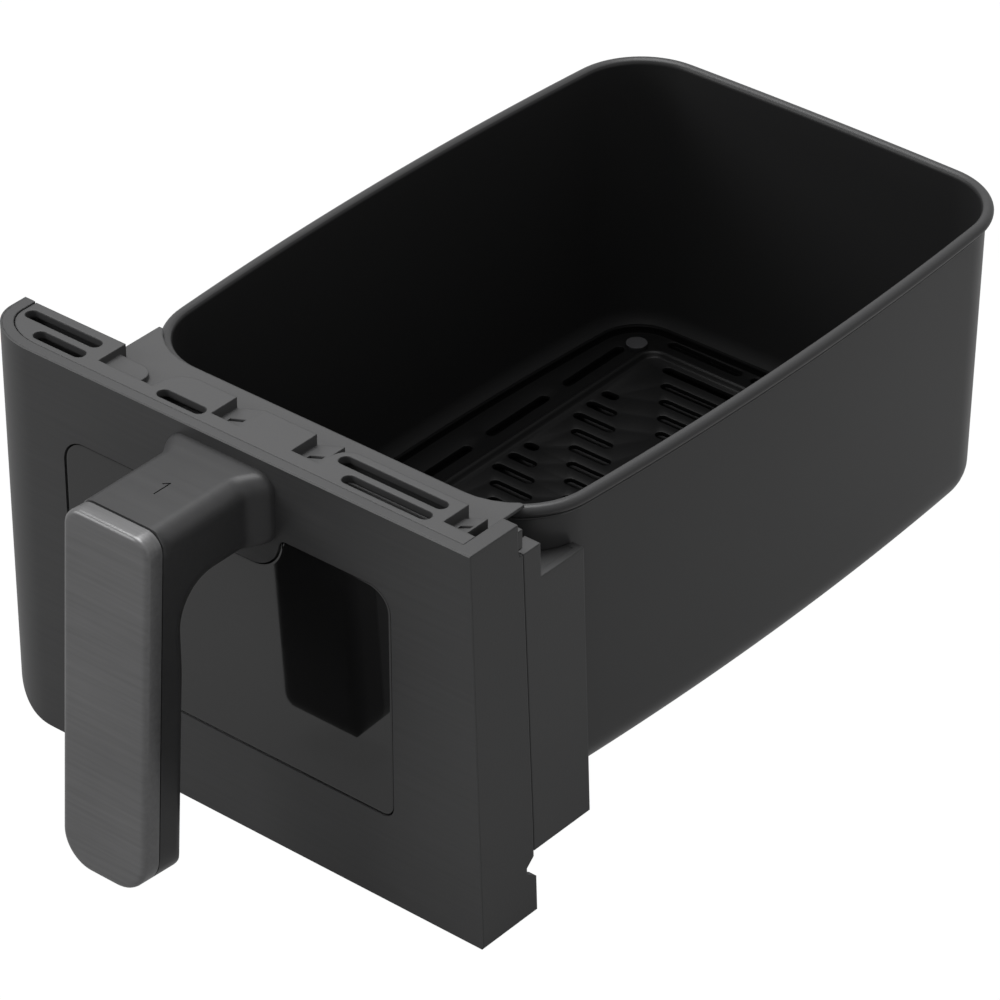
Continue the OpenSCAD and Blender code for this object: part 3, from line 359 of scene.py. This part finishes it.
sight_outline = round_corners(SIGHT_X - SIGHT_HW, SIGHT_X + SIGHT_HW,
                              SIGHT_Z - SIGHT_HH, SIGHT_Z + SIGHT_HH, SIGHT_R, SIGHT_R)
through_wall = [(0, PAD_Y), (0, PAN_FRONT + 8)]
cut(pan, plain_solid(*carried(sight_outline, through_wall, facing_front)))
pan_points = np.empty(len(pan.data.vertices) * 3)
pan.data.vertices.foreach_get("co", pan_points)
# Outer faces get 1 and keep the grey. Inner faces get 0 and take the black painted shade.
light_up(pan, on_outside(pan_points.reshape(-1, 3)).astype(float))
pan.data.set_sharp_from_angle(angle=40 * DEGREE)

# The pad: a raised rim round the window's opening, and a bar above and below for the brackets.
rim_profile = [(0, PAD_Y), (0, PAN_FRONT - 0.7), (PAD_RIM, PAN_FRONT - 0.7),
               (PAD_RIM, PAD_Y + 0.2), (PAD_RIM - 0.2, PAD_Y)]
points, faces = tube(sight_outline, rim_profile, facing_front)
pan_pad = finish_mesh("pan_pad", points, faces, "drawer", pan_shade_and_coat)
light_up(pan_pad, np.ones(len(pan_pad.data.vertices)))
bar_profile = [(-0.4, PAD_Y), (0, PAD_Y + 0.4), (0, PAN_FRONT)]
for side, low, top in (("upper", PAD_TOP - 9, PAD_TOP), ("lower", PAD_LOW, PAD_LOW + 8)):
    bar_outline = round_corners(-PAD_HALF, PAD_HALF, low, top, 2, 2, 5)
    points, faces = carried(bar_outline, bar_profile, facing_front)
    bar = finish_mesh("pan_pad_" + side, points, faces, "drawer", pan_shade_and_coat)
    light_up(bar, np.ones(len(bar.data.vertices)))
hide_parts("pan_shell")

# ---- The inner window ----
# Heat-resistant glass in a U-section silicone gasket, clamped against the pan's pad by a pressed
# steel frame with four screwed ears. All of it sits in the space behind the front cover.


def math_node(tree, operation, first, second):
    """A Math node; first and second are sockets or numbers."""
    node = tree.nodes.new("ShaderNodeMath")
    node.operation = operation
    for slot_no, value in enumerate((first, second)):
        if isinstance(value, (int, float)):
            node.inputs[slot_no].default_value = value
        else:
            tree.links.new(value, node.inputs[slot_no])
    return node.outputs[0]


def grained(name, dark, light, roughness, depth, grain_scale, cloud_scale=14.0,
            edge_radius=0.0, **rest):
    """A sprayed or moulded finish: colour and roughness drift between two values with a soft
    cloud, and fine grain stands depth metres high. edge_radius rounds a solid's sharp edges."""
    material, tree, shader = new_material(name, roughness, **rest)
    texture = tree.nodes.new("ShaderNodeGroup")
    texture.node_tree = grain
    texture.inputs["Grain Scale"].default_value = grain_scale
    texture.inputs["Cloud Scale"].default_value = cloud_scale
    tree.links.new(ramp(tree, texture.outputs["Cloud"], dark, light), shader.inputs["Base Color"])
    tree.links.new(ramp(tree, texture.outputs["Cloud"], roughness - 0.04, roughness + 0.05),
                   shader.inputs["Roughness"])
    raise_surface(tree, shader, texture.outputs["Height"], depth, 0.6, edge_radius)
    return material


def clear(name, colour, roughness, smear):
    """Clear glass: refraction with a faint smear of uneven gloss."""
    material, tree, shader = new_material(name, roughness)
    shader.inputs["Base Color"].default_value = (*colour, 1)
    shader.inputs["IOR"].default_value = 1.5
    shader.inputs["Transmission Weight"].default_value = 1.0
    tree.links.new(ramp(tree, object_noise(tree, 25.0, 4.0), roughness, roughness + smear),
                   shader.inputs["Roughness"])
    return material


def brushed(name, dark, light, roughness, metallic, stretch, depth, edge_radius=0.0,
            cloud=6.0, contrast=0.5, specular=0.5):
    """Brushed metal: noise drawn out along one axis moves the colour, the roughness and the
    surface together, over a slow drift from place to place."""
    material, tree, shader = new_material(name, roughness, metallic, specular)
    lines = object_noise(tree, 1.0, 6.0, stretch)
    patch = object_noise(tree, cloud, 4.0)
    blend = math_node(tree, "ADD", math_node(tree, "MULTIPLY", lines, contrast),
                      math_node(tree, "MULTIPLY", patch, 1 - contrast))
    spread = ramp(tree, blend, 0.0, 1.0)
    tree.links.new(ramp(tree, spread, dark, light), shader.inputs["Base Color"])
    tree.links.new(ramp(tree, blend, roughness - 0.06, roughness + 0.06),
                   shader.inputs["Roughness"])
    raise_surface(tree, shader, lines, depth, 0.5, edge_radius)
    return material


def dress(material, *names):
    """Gives CAD nodes whose shape is right a finished material."""
    for name in names:
        mesh = nodes[name].data
        mesh.materials.clear()
        mesh.materials.append(material)


inner_glass = clear("inner_glass", (0.93, 0.96, 0.96), 0.02, 0.05)
silicone = grained("silicone", (0.016, 0.016, 0.018), (0.024, 0.024, 0.026), 0.62, 0.00004, 900.0,
                   edge_radius=0.0004)
steel = brushed("plain_steel", (0.36, 0.36, 0.37), (0.5, 0.5, 0.51), 0.34, 1.0,
                (60, 900, 900), 0.00002, edge_radius=0.0003)
dress(inner_glass, "sight_glass")
dress(silicone, "sight_gasket", "pane_gasket")
dress(steel, "sight_frame", "sight_screws")

# ---- The brackets ----
# Two folded steel strips hold the pan by its pad. Each is screwed to the pad with three screws
# and to the moulded housing with two.
dress(steel, "upper_bracket", "lower_bracket", "bracket_screws", "housing_screws")

# ---- The moulded housing ----
# One heat-resistant moulding: the wall behind the cover, the deck along its top with vent slots
# and clip pockets, and the two side cheeks that close towards the pan.
housing_plastic = grained("housing_plastic", (0.069, 0.069, 0.07), (0.081, 0.081, 0.082), 0.46,
                          0.00006, 1300.0, edge_radius=0.0008, specular=0.25)
dress(housing_plastic, "inner_housing")

# ---- The front cover ----
# A moulded tray screwed to the housing from behind with six screws. Its top band frames the
# deck. A black shroud joins its window opening to the inner window.
cover_plastic = grained("cover_plastic", (0.064, 0.064, 0.065), (0.075, 0.075, 0.076), 0.4,
                        0.00005, 1500.0, edge_radius=0.0007, specular=0.22)
shroud_plastic = grained("shroud_plastic", (0.012, 0.012, 0.013), (0.018, 0.018, 0.02), 0.5,
                         0.00005, 1200.0, edge_radius=0.0004)
dress(cover_plastic, "front_cover")
dress(shroud_plastic, "window_shroud")
dress(steel, "cover_screws")

# ---- The brushed skin ----
# A dark brushed sheet folded round the cover's left side and bonded to it, with the window cut
# out. Its brush lines run from side to side.
WRAP_X, WRAP_Y, TURN_L, LEFT, RIGHT, COVER_H = 20.0, 15.0, 28.0, -108.3, 82.0, 132.6
LOW_R, SKIN_BACK, TAPER = 22.0, 20.8, 4.0
WIN_X, WIN_Z, WIN_W, WIN_H = -12.7, 30.0, 124.6, 78.5
TAB_HW, TAB_DROP, TAB_R, TAB_IN_R, WIN_TOP_R, WIN_LOW_R = 21.0, 11.7, 11.0, 2.5, 8.0, 4.5


def window_outline(d):
    """The window set in by d: a rounded rectangle whose upper edge steps down round a tab, with
    a small hollow corner above and a large one below."""
    left, right = WIN_X - WIN_W / 2 + d, WIN_X + WIN_W / 2 - d
    low, top = WIN_Z + d, WIN_Z + WIN_H - d
    tab_low, hw = WIN_Z + WIN_H - TAB_DROP - d, TAB_HW + d
    low_r, top_r = WIN_LOW_R - d / 2, WIN_TOP_R - d / 2
    parts = [arc(left + low_r, low + low_r, low_r, 180, 270, 10),
             arc(right - low_r, low + low_r, low_r, 270, 360, 10),
             arc(right - top_r, top - top_r, top_r, 0, 90, 12),
             arc(WIN_X + hw + TAB_IN_R, top - TAB_IN_R, TAB_IN_R, 90, 180, 7),
             arc(WIN_X + hw - TAB_R, tab_low + TAB_R, TAB_R, 360, 270, 14),
             arc(WIN_X - hw + TAB_R, tab_low + TAB_R, TAB_R, 270, 180, 14),
             arc(WIN_X - hw - TAB_IN_R, top - TAB_IN_R, TAB_IN_R, 0, 90, 7),
             arc(left + top_r, top - top_r, top_r, 90, 180, 12)]
    for hollow in (4, 5):
        parts[hollow] = (parts[hollow][0], -parts[hollow][1])
    return joined(*parts)


front_run = RIGHT - (LEFT + WRAP_X)
turn_end = front_run + TURN_L


def skin_point(s, t, d):
    """The skin at plan length s and height share t, set in by d: straight along the front, then
    a quarter ellipse, then straight back. Its foot follows the round lower left corner, and
    its right edge leans in by TAPER from foot to top."""
    turn = np.clip((s - front_run) / TURN_L, 0, 1) * np.pi / 2
    lean_in = TAPER * t * np.clip(1 - s / front_run, 0, 1)
    on_front = s < front_run
    x = np.where(on_front, RIGHT - s - lean_in, LEFT + WRAP_X - (WRAP_X - d) * np.sin(turn))
    y = np.where(on_front, d, WRAP_Y - (WRAP_Y - d) * np.cos(turn))
    y = y + np.clip(s - front_run - TURN_L, 0, None)
    reach = np.clip((LEFT + LOW_R) - x, 0, LOW_R)
    foot = LOW_R - np.sqrt(np.clip(LOW_R ** 2 - reach ** 2, 0, None))
    return at(x, y, foot + t * (COVER_H - foot))


run = np.concatenate([np.linspace(0, front_run - 6, 60),
                      np.linspace(front_run - 6, front_run, 6)[1:],
                      np.linspace(front_run, turn_end, 33)[1:],
                      np.linspace(turn_end, turn_end + SKIN_BACK - WRAP_Y, 4)[1:]])
s, t = np.meshgrid(run, np.linspace(0, 1, 40), indexing="ij")
outer_skin, inner_skin = skin_point(s, t, 0.0), skin_point(s, t, SKIN_T)
rows, columns = s.shape
count = rows * columns
faces = strip_faces(rows, columns, closed=False) + strip_faces(rows, columns, False, count)
# The edge all round, from the numbers of the grid's border points, joins the two sides.
grid = np.arange(count).reshape(rows, columns)
edge = np.concatenate([grid[:, 0], grid[-1, 1:], grid[-2::-1, -1], grid[0, -2:0:-1]])
following = np.roll(edge, -1)
faces += np.stack([edge, following, following + count, edge + count], 1).tolist()
panel_metal = brushed("panel_metal", (0.06, 0.06, 0.061), (0.085, 0.085, 0.086), 0.4, 0.2,
                      (22, 700, 700), 0.00001, cloud=9.0, contrast=0.35, specular=0.2)
skin = finish_mesh("brushed_skin", np.concatenate([outer_skin.reshape(-1, 3),
                                                   inner_skin.reshape(-1, 3)]),
                   faces, "drawer", panel_metal)
through_skin = [(0, -3), (0, 4)]
cut(skin, plain_solid(*carried(window_outline(0), through_skin, facing_front)))
skin.data.set_sharp_from_angle(angle=35 * DEGREE)
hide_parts("fascia_skin")

# ---- The outer window ----
# A smoked pane lies almost flush in the opening, on a thin gasket. Its edge is ground to a
# narrow bevel.
smoked, smoked_tree, smoked_shader = new_material("smoked_pane", 0.03)
smoked_shader.inputs["IOR"].default_value = 1.52
smoked_tree.links.new(ramp(smoked_tree, object_noise(smoked_tree, 18.0, 4.0),
                           (0.011, 0.011, 0.0112), (0.016, 0.016, 0.0163)),
                      smoked_shader.inputs["Base Color"])
smoked_tree.links.new(ramp(smoked_tree, object_noise(smoked_tree, 30.0, 4.0), 0.02, 0.05),
                      smoked_shader.inputs["Roughness"])
PANE_GAP = 0.4
pane_profile = [(-0.8, 0.35), (-0.35, 0.35), (-0.12, 0.41), (0, 0.65), (0, 2.75)]
points, faces = carried(window_outline(PANE_GAP), pane_profile, facing_front)
pane = finish_mesh("smoked_window", points, faces, "drawer", smoked, 25)
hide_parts("window_pane")

# ---- The handle's body ----
# A hollow moulding, flared where it meets the cover and turned down into the grip. The number of
# the cooking zone is pressed into its upper face. Two screws come through the cover into a
# steel bar inside its neck.
HAND_X, HAND_HW, LEAN, GRIP_OUT, GRIP_D, GRIP_L = -12.7, 16.0, 3.9, 47.2, 17.0, 118.0
NECK_TOP, NECK_LOW, FINGER_R, SEAM_Y = 129.0, 104.5, 13.0, 6.5
FLARE, ROOT_L, END_R, TOP_R, GRIP_BACK_R = 4.0, 9.0, 11.0, 6.0, 8.0
NECK_EDGE_R, GRIP_EDGE_R = 7.0, 4.0
sin_lean, cos_lean, tan_lean = (f(LEAN * DEGREE) for f in (math.sin, math.cos, math.tan))


def grip_side(h, w):
    """A grip point at depth h behind its front and height w, which is below zero, leant forwards
    by the angle LEAN: its side view (y, z)."""
    return np.stack(np.broadcast_arrays(-GRIP_OUT + h * cos_lean + w * sin_lean,
                                        NECK_TOP - h * sin_lean + w * cos_lean), -1)


def grip_place(u, h, w):
    """A point of the leant grip, u across from its middle."""
    side_view = grip_side(h, w)
    return at(HAND_X + np.asarray(u, float), side_view[..., 0], side_view[..., 1])


def side_lines():
    """Stations along the handle, seen from the side: the outer line runs along the neck's top
    and down the seam, the inner one along the neck's underside, round the finger curve and
    down the grip's back. Each is an array of (y, z) points."""
    finger_z = NECK_LOW - FINGER_R
    back_top = grip_side(GRIP_D, 0.0)
    finger_y = back_top[0] - (back_top[1] - finger_z) * tan_lean + FINGER_R / cos_lean
    corner = np.array([-GRIP_OUT + SEAM_Y / cos_lean, NECK_TOP])
    level = NECK_TOP - finger_z + 6  # the finger curve's end, below the neck's top
    neck = np.linspace(0, finger_y, 24)
    above_finger = np.array([finger_y, NECK_TOP])
    along = np.linspace(0, 1, 13)[1:, None]
    down = np.linspace(-level, -GRIP_L + GRIP_BACK_R, 22)[1:]
    foot = np.radians(np.linspace(0, 90, 12)[1:])
    foot_w = -GRIP_L + GRIP_BACK_R - GRIP_BACK_R * np.sin(foot)
    outer = [np.stack([neck, np.full_like(neck, NECK_TOP)], 1),
             above_finger + (corner - above_finger) * along,
             corner + (grip_side(SEAM_Y, -level) - corner) * along,
             grip_side(SEAM_Y, down), grip_side(SEAM_Y, foot_w)]
    inner = [np.stack([neck, np.full_like(neck, NECK_LOW)], 1),
             arc(finger_y, finger_z, FINGER_R, 90, 135, 13)[0][1:],
             arc(finger_y, finger_z, FINGER_R, 135, 180 - LEAN, 13)[0][1:],
             grip_side(GRIP_D, down),
             grip_side(GRIP_D - GRIP_BACK_R + GRIP_BACK_R * np.cos(foot), foot_w)]
    return np.concatenate(outer), np.concatenate(inner)


def half_width(y, z, inner):
    """Half the handle's width at a side-view point: full, less the rounding near the upper
    face, the inner line and the foot, plus the flare at the root."""
    to_inner = np.sqrt(((np.stack([y, z], -1)[..., None, :] - inner) ** 2).sum(-1)).min(-1)
    down = (NECK_TOP - z) / cos_lean
    to_end = GRIP_L - ((NECK_TOP - z) * cos_lean - (y + GRIP_OUT) * sin_lean)
    edge_r = GRIP_EDGE_R + (NECK_EDGE_R - GRIP_EDGE_R) * np.clip((z - 80) / 25, 0, 1)
    share = np.clip(1 + y / ROOT_L, 0, 1)
    flare = FLARE * share * share * (3 - 2 * share)

    def rounding(d, r):
        """What a round of radius r takes off at distance d from the edge."""
        return r - np.sqrt(np.clip(r * r - np.clip(r - d, 0, r) ** 2, 0, None))

    loss = np.maximum(np.maximum(rounding(down, TOP_R), rounding(to_inner, edge_r)),
                      rounding(to_end, END_R))
    return HAND_HW - loss + flare


outer_line, inner_line = side_lines()
fine_inner = np.stack([np.interp(np.linspace(0, len(inner_line) - 1, 900),
                                 np.arange(len(inner_line)), inner_line[:, k]) for k in (0, 1)], 1)
share = (1 - np.cos(np.linspace(0, np.pi, 40))) / 2
y = outer_line[:, :1] + (inner_line[:, :1] - outer_line[:, :1]) * share
z = outer_line[:, 1:] + (inner_line[:, 1:] - outer_line[:, 1:]) * share
width = half_width(y, z, fine_inner)
across = np.linspace(1, -1, 12)[1:-1]


def both_sides(v):
    """Side-view values carried round each ring: right side, back, left side and front."""
    return np.concatenate([v, np.repeat(v[:, -1:], len(across), 1), v[:, ::-1],
                           np.repeat(v[:, :1], len(across), 1)], 1)


ring_x = np.concatenate([width, width[:, -1:] * across, -width[:, ::-1],
                         width[:, :1] * -across], 1)
ring_y, ring_z = both_sides(y), both_sides(z)
rows, columns = ring_x.shape
faces = strip_faces(rows, columns) + [list(range(columns)),
                                      list(range((rows - 1) * columns, rows * columns))]
handle_finish = brushed("handle_finish", (0.046, 0.046, 0.047), (0.062, 0.062, 0.063), 0.34, 0.1,
                        (22, 500, 500), 0.00001, cloud=12.0, contrast=0.3, specular=0.2)
handle = finish_mesh("handle_body", at(HAND_X + ring_x, ring_y, ring_z).reshape(-1, 3), faces,
                     "drawer", handle_finish, 30)
# The figure 1, an outline in X and Y from its foot up, goes FIGURE_D deep into the neck's top.
figure = np.array([(-0.22, -27.5), (0.22, -27.5), (0.22, -20.5), (-0.22, -20.5), (-1.8, -22.1),
                   (-1.5, -22.45), (-0.22, -21.2)])
FIGURE_D = 0.4
n = len(figure)
figure_points = at(HAND_X + np.tile(figure[:, 0], 2), np.tile(figure[:, 1], 2),
                   np.repeat([NECK_TOP - FIGURE_D, NECK_TOP + 1], n))
cut(handle, plain_solid(figure_points,
                        strip_faces(2, n) + [list(range(n)), list(range(n, 2 * n))]))
handle.data.set_sharp_from_angle(angle=30 * DEGREE)
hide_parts("handle_shell")
dress(steel, "handle_insert", "handle_screws")

# ---- The grip's front plate ----
# A brushed plate with a bright bevel, screwed on from behind with two screws. Its brush lines
# run across the grip.
BEVEL_W, BEVEL_D, CAP_D = 1.7, 1.5, 6.3
grip_outline = round_corners(-HAND_HW, HAND_HW, -GRIP_L, 0, END_R, TOP_R, 14)
bevel = [(-BEVEL_W + BEVEL_W * math.sin(a), BEVEL_D - BEVEL_D * math.cos(a))
         for a in np.radians([8, 25, 45, 65, 90])]
points, faces = carried(grip_outline, [(-2.2, 0.0), *bevel, (0, CAP_D - 0.2), (-0.2, CAP_D)],
                        lambda u, v, h: grip_place(u, h, v))
plate_metal = brushed("grip_plate_metal", (0.13, 0.13, 0.132), (0.2, 0.2, 0.202), 0.33, 0.45,
                      (30, 800, 800), 0.000015, cloud=14.0, contrast=0.45, specular=0.3)
plate = finish_mesh("grip_plate", points, faces, "drawer", plate_metal, 28)
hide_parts("grip_cap")
dress(steel, "grip_screws")

# ---- The crisper plate ----
# A coated plate with rows of slots between slanting ribs, a raised bead round the slotted
# field, a row of long slots outside it and a turned-up edge. It lifts out of the pan.
PLATE_Z, PLATE_T, INSET = 30.6, 1.5, -6.5
SLOT_W, PITCH, FIELD_HW, SPINE = 3.4, 7.75, 46.4, 9.0
FIELD_BACK, FIELD_FRONT = 236.0, 58.0
RIB_X, RIB_DOWN, RIB_PITCH, RIB_SLOPE, RIB_W, FIRST_RIB_W = -41.5, 21.5, 40, 1.43, 12.0, 16.4
RIDGE_X, RIDGE_OUT, RIDGE_W, RIDGE_H, RIDGE_R = 50.3, 6.0, 4.0, 1.6, 6
RING_OUT, RING_END_OUT, RING_L, RING_PITCH = 8.2, 7.0, 26.0, 35.0
ridge_front, ridge_back = FIELD_FRONT - RIDGE_OUT, FIELD_BACK + RIDGE_OUT

# Sections as (out, up from the plate's upper face): the turned-up edge, a slot's rounded mouth,
# and the bead in shares of its half width and its height.
EDGE_PROFILE = ((-1.6, -PLATE_T), (-0.4, -PLATE_T + 0.5), (0, -0.2), (0.0, 2.2), (-0.3, 2.5),
                (-1.2, 2.5), (-1.4, 2.2), (-1.45, 0.4), (-1.6, 0))
SLOT_PROFILE = ((0.4, 0), (0.15, -0.1), (0, -0.4), (0, -PLATE_T))
BEAD_PROFILE = ((1.15, 0), (0.85, 0.16), (0.6, 0.6), (0.3, 0.93), (0, 1), (-0.3, 0.93),
                (-0.6, 0.6), (-0.85, 0.16), (-1.15, 0))


def slots():
    """Centre lines (x0, y0, x1, y1) of every slot: rows across between the slanting ribs, and
    the outer rows along the sides and the ends. In a row, each rib is solid for RIB_W from its
    left edge, and a slot fills the rest up to the next rib's left edge."""
    found = []
    for y in np.arange(FIELD_BACK, FIELD_FRONT - 0.01, -PITCH):
        for rib in range(8):
            left = RIB_X - (y - (FIELD_BACK - RIB_DOWN) + rib * RIB_PITCH) / RIB_SLOPE
            right = left + RIB_PITCH / RIB_SLOPE
            start = max(-FIELD_HW, left + (RIB_W if rib else FIRST_RIB_W)) + SLOT_W / 2
            end = min(-SPINE, right if rib else 0) - SLOT_W / 2
            if end - start > SLOT_W / 2:
                found += [(start, y, end, y), (-start, y, -end, y)]

    def spaced(low, high):
        """Both ends of long slots at equal steps, close to RING_PITCH, from low to high."""
        number = round((high - low) / RING_PITCH)
        middles = low + (high - low) * (np.arange(number) + 0.5) / number
        return [(middle - RING_L / 2, middle + RING_L / 2) for middle in middles]

    beside = RIDGE_X + RING_OUT
    before, behind = ridge_front - RING_END_OUT, ridge_back + RING_END_OUT
    for a, b in spaced(ridge_front, ridge_back):
        found += [(-beside, a, -beside, b), (beside, a, beside, b)]
    for a, b in spaced(-RIDGE_X, RIDGE_X):
        found += [(a, before, b, before), (a, behind, b, behind)]
    return found


def slot_outline(line, grow):
    """A slot's stadium outline, grown by so many millimetres."""
    x0, y0, x1, y1 = line
    turn = math.degrees(math.atan2(y1 - y0, x1 - x0))
    return joined(arc(x0, y0, SLOT_W / 2 + grow, turn + 90, turn + 270, 8),
                  arc(x1, y1, SLOT_W / 2 + grow, turn - 90, turn + 90, 8))[0]


def inside(p, loop):
    """True for the points p inside a closed loop: a line to their right crosses it an odd
    number of times."""
    a, b = loop, np.roll(loop, -1, 0)
    crosses = (a[:, 1] > p[:, 1:2]) != (b[:, 1] > p[:, 1:2])
    rise = np.where(b[:, 1] == a[:, 1], 1, b[:, 1] - a[:, 1])
    crossing_x = a[:, 0] + (p[:, 1:2] - a[:, 1]) / rise * (b[:, 0] - a[:, 0])
    return (crosses & (p[:, :1] < crossing_x)).sum(1) % 2 == 1


def sheet(points, loops):
    """Triangles of the flat sheet inside the first loop and outside all the others, from the
    points' numbers round each loop."""
    numbers = np.concatenate(loops)
    flat = points[numbers, :2]
    starts = np.cumsum([0] + [len(loop) for loop in loops])
    edges = [(int(start + k), int(start + (k + 1) % len(loop)))
             for start, loop in zip(starts, loops) for k in range(len(loop))]
    made = delaunay_2d_cdt([Vector(p) for p in flat.tolist()], edges, [], 0, 1e-9)
    triangles = np.array(made[2])
    centres = np.array(made[0])[triangles].mean(1)
    keep = inside(centres, flat[:starts[1]])
    for start, end in zip(starts[1:-1], starts[2:]):
        hole = flat[start:end]
        near = (np.abs(centres - hole.mean(0)) < np.ptp(hole, 0) / 2 + 1e-5).all(1)
        keep[near] &= ~inside(centres[near], hole)
    origin = np.array([sources[0] for sources in made[3]])
    return numbers[origin[triangles[keep]]].tolist()


def plate_surface():
    """The upper and lower faces are flat sheets triangulated round every hole, and each hole
    and raised bead has rings of its own, rounded where they meet the sheet."""
    points, faces = [], []

    def rings(profile, outline_at):
        """The points' numbers of one ring for each profile entry (d, h), which is the outline
        moved out by d, at height h over the plate. Quads join neighbouring rings."""
        first = sum(len(p) for p in points)
        made = [at(*outline_at(d).T, PLATE_Z + h) for d, h in profile]
        points.extend(made)
        faces.extend(strip_faces(len(made), len(made[0]), first=first))
        return np.arange(len(made) * len(made[0])).reshape(len(made), -1) + first

    path, out = pan_outline[0][::2], pan_outline[1][::2]
    edge = rings(EDGE_PROFILE, lambda d: path + (INSET + d) * out)
    lines = slots()
    holes = [rings(SLOT_PROFILE, lambda d: slot_outline(line, d)) for line in lines]
    middle, middle_out = round_corners(-RIDGE_X, RIDGE_X, ridge_front, ridge_back,
                                       RIDGE_R, RIDGE_R, 9)
    bead_profile = [(RIDGE_W / 2 * share, RIDGE_H * height) for share, height in BEAD_PROFILE]
    bead = rings(bead_profile, lambda d: middle + d * middle_out)

    in_field = [abs(x0) < RIDGE_X and ridge_front < y0 < ridge_back for x0, y0, x1, y1 in lines]
    around = [hole[0] for hole, within in zip(holes, in_field) if not within]
    field = [hole[0] for hole, within in zip(holes, in_field) if within]
    points = np.concatenate(points)
    faces += sheet(points, [edge[-1], bead[0], *around])
    faces += sheet(points, [bead[-1], *field])
    faces += sheet(points, [edge[0], *[hole[-1] for hole in holes]])
    return points, faces


crisper_coat = grained("crisper_coating", (0.0035, 0.0035, 0.0036), (0.0055, 0.0055, 0.0056), 0.4,
                       0.00003, 2600.0, specular=0.1)
points, faces = plate_surface()
crisper = finish_mesh("crisper", points, faces, "crisper", crisper_coat, 32)
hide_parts("crisper_plate")
dress(silicone, "crisper_bumpers")

# ---- The studio ----
# A pale floor under the drawer and a white surround, with soft lamps above, at the left and at
# the right, and the camera at its viewing angle. The camera and mirrors see the floor and the
# surround lighter than they light the drawer.
FLOOR_HALF, FLOOR_GREY, FLOOR_GLOW, FLOOR_SEEN, FLOOR_MIRRORED = 6, 0.2, 1.06, 0.95, 0.4
SKY_LIGHT, SKY_SEEN, SKY_MIRRORED = 0.25, 0.8, 0.2
floor_mesh = bpy.data.meshes.new("floor")
floor_mesh.from_pydata([(-FLOOR_HALF, -FLOOR_HALF, 0), (FLOOR_HALF, -FLOOR_HALF, 0),
                        (FLOOR_HALF, FLOOR_HALF, 0), (-FLOOR_HALF, FLOOR_HALF, 0)],
                       [], [(0, 1, 2, 3)])
floor = bpy.data.objects.new("floor", floor_mesh)
bpy.context.scene.collection.objects.link(floor)
paper = bpy.data.materials.new("floor_paper")
paper.use_nodes = True
tree = paper.node_tree
tree.nodes.clear()
shade = tree.nodes.new("ShaderNodeBsdfDiffuse")
shade.inputs["Color"].default_value = (FLOOR_GREY, FLOOR_GREY, FLOOR_GREY, 1)
glow = tree.nodes.new("ShaderNodeEmission")
glow.inputs["Strength"].default_value = FLOOR_GLOW
blend = tree.nodes.new("ShaderNodeMixShader")
surface = tree.nodes.new("ShaderNodeOutputMaterial")


def ray_share(tree, seen, mirrored):
    """The value seen for rays from the camera, mirrored for glossy rays and 0 for all others."""
    rays = tree.nodes.new("ShaderNodeLightPath")
    return math_node(tree, "ADD",
                     math_node(tree, "MULTIPLY", rays.outputs["Is Glossy Ray"], mirrored),
                     math_node(tree, "MULTIPLY", rays.outputs["Is Camera Ray"], seen))


tree.links.new(ray_share(tree, FLOOR_SEEN, FLOOR_MIRRORED), blend.inputs[0])
tree.links.new(shade.outputs[0], blend.inputs[1])
tree.links.new(glow.outputs[0], blend.inputs[2])
tree.links.new(blend.outputs[0], surface.inputs["Surface"])
floor_mesh.materials.append(paper)

world = bpy.data.worlds.new("surround")
bpy.context.scene.world = world
world.use_nodes = True
sky = world.node_tree
sky.nodes.clear()
background = sky.nodes.new("ShaderNodeBackground")
world_out = sky.nodes.new("ShaderNodeOutputWorld")
background.inputs["Color"].default_value = (1, 1, 1, 1)
sky.links.new(math_node(sky, "ADD", ray_share(sky, SKY_SEEN, SKY_MIRRORED), SKY_LIGHT),
              background.inputs["Strength"])
sky.links.new(background.outputs[0], world_out.inputs["Surface"])


def lamp(name, place, target, size, power):
    """A square soft lamp at place that faces target."""
    light = bpy.data.lights.new(name, "AREA")
    light.size = size
    light.energy = power
    fixture = bpy.data.objects.new(name, light)
    bpy.context.scene.collection.objects.link(fixture)
    fixture.location = place
    fixture.rotation_euler = (Vector(target) - Vector(place)).to_track_quat("-Z", "Y").to_euler()


lamp("overhead", (-0.35, 0.15, 1.8), (0, 0, 0.05), 1.3, 36)
lamp("left_front", (-1.3, -1.3, 1.0), (0, -0.1, 0.05), 0.9, 11)
lamp("right_side", (1.6, -0.2, 0.7), (0, 0, 0.05), 0.9, 0.9)

AZIMUTH, ELEVATION, ROLL = 39.955 * DEGREE, 33.688 * DEGREE, -0.155 * DEGREE
CAMERA_PLACE, FOCAL_LENGTH, SENSOR_WIDTH = (860.60, -920.98, 957.07), 194.95, 36
away = Vector((math.sin(AZIMUTH) * math.cos(ELEVATION), -math.cos(AZIMUTH) * math.cos(ELEVATION),
               math.sin(ELEVATION)))
right = (-away).cross(Vector((0, 0, 1))).normalized()
up = right.cross(-away).normalized()
right, up = (math.cos(ROLL) * right + math.sin(ROLL) * up,
             math.cos(ROLL) * up - math.sin(ROLL) * right)
lens = bpy.data.cameras.new("camera")
lens.lens = FOCAL_LENGTH
lens.sensor_width = SENSOR_WIDTH
camera = bpy.data.objects.new("camera", lens)
bpy.context.scene.collection.objects.link(camera)
facing = Matrix((right, up, away)).transposed().to_4x4()
camera.matrix_world = Matrix.Translation(at(*CAMERA_PLACE)) @ facing
bpy.context.scene.camera = camera
bpy.context.scene.view_settings.view_transform = "Standard"
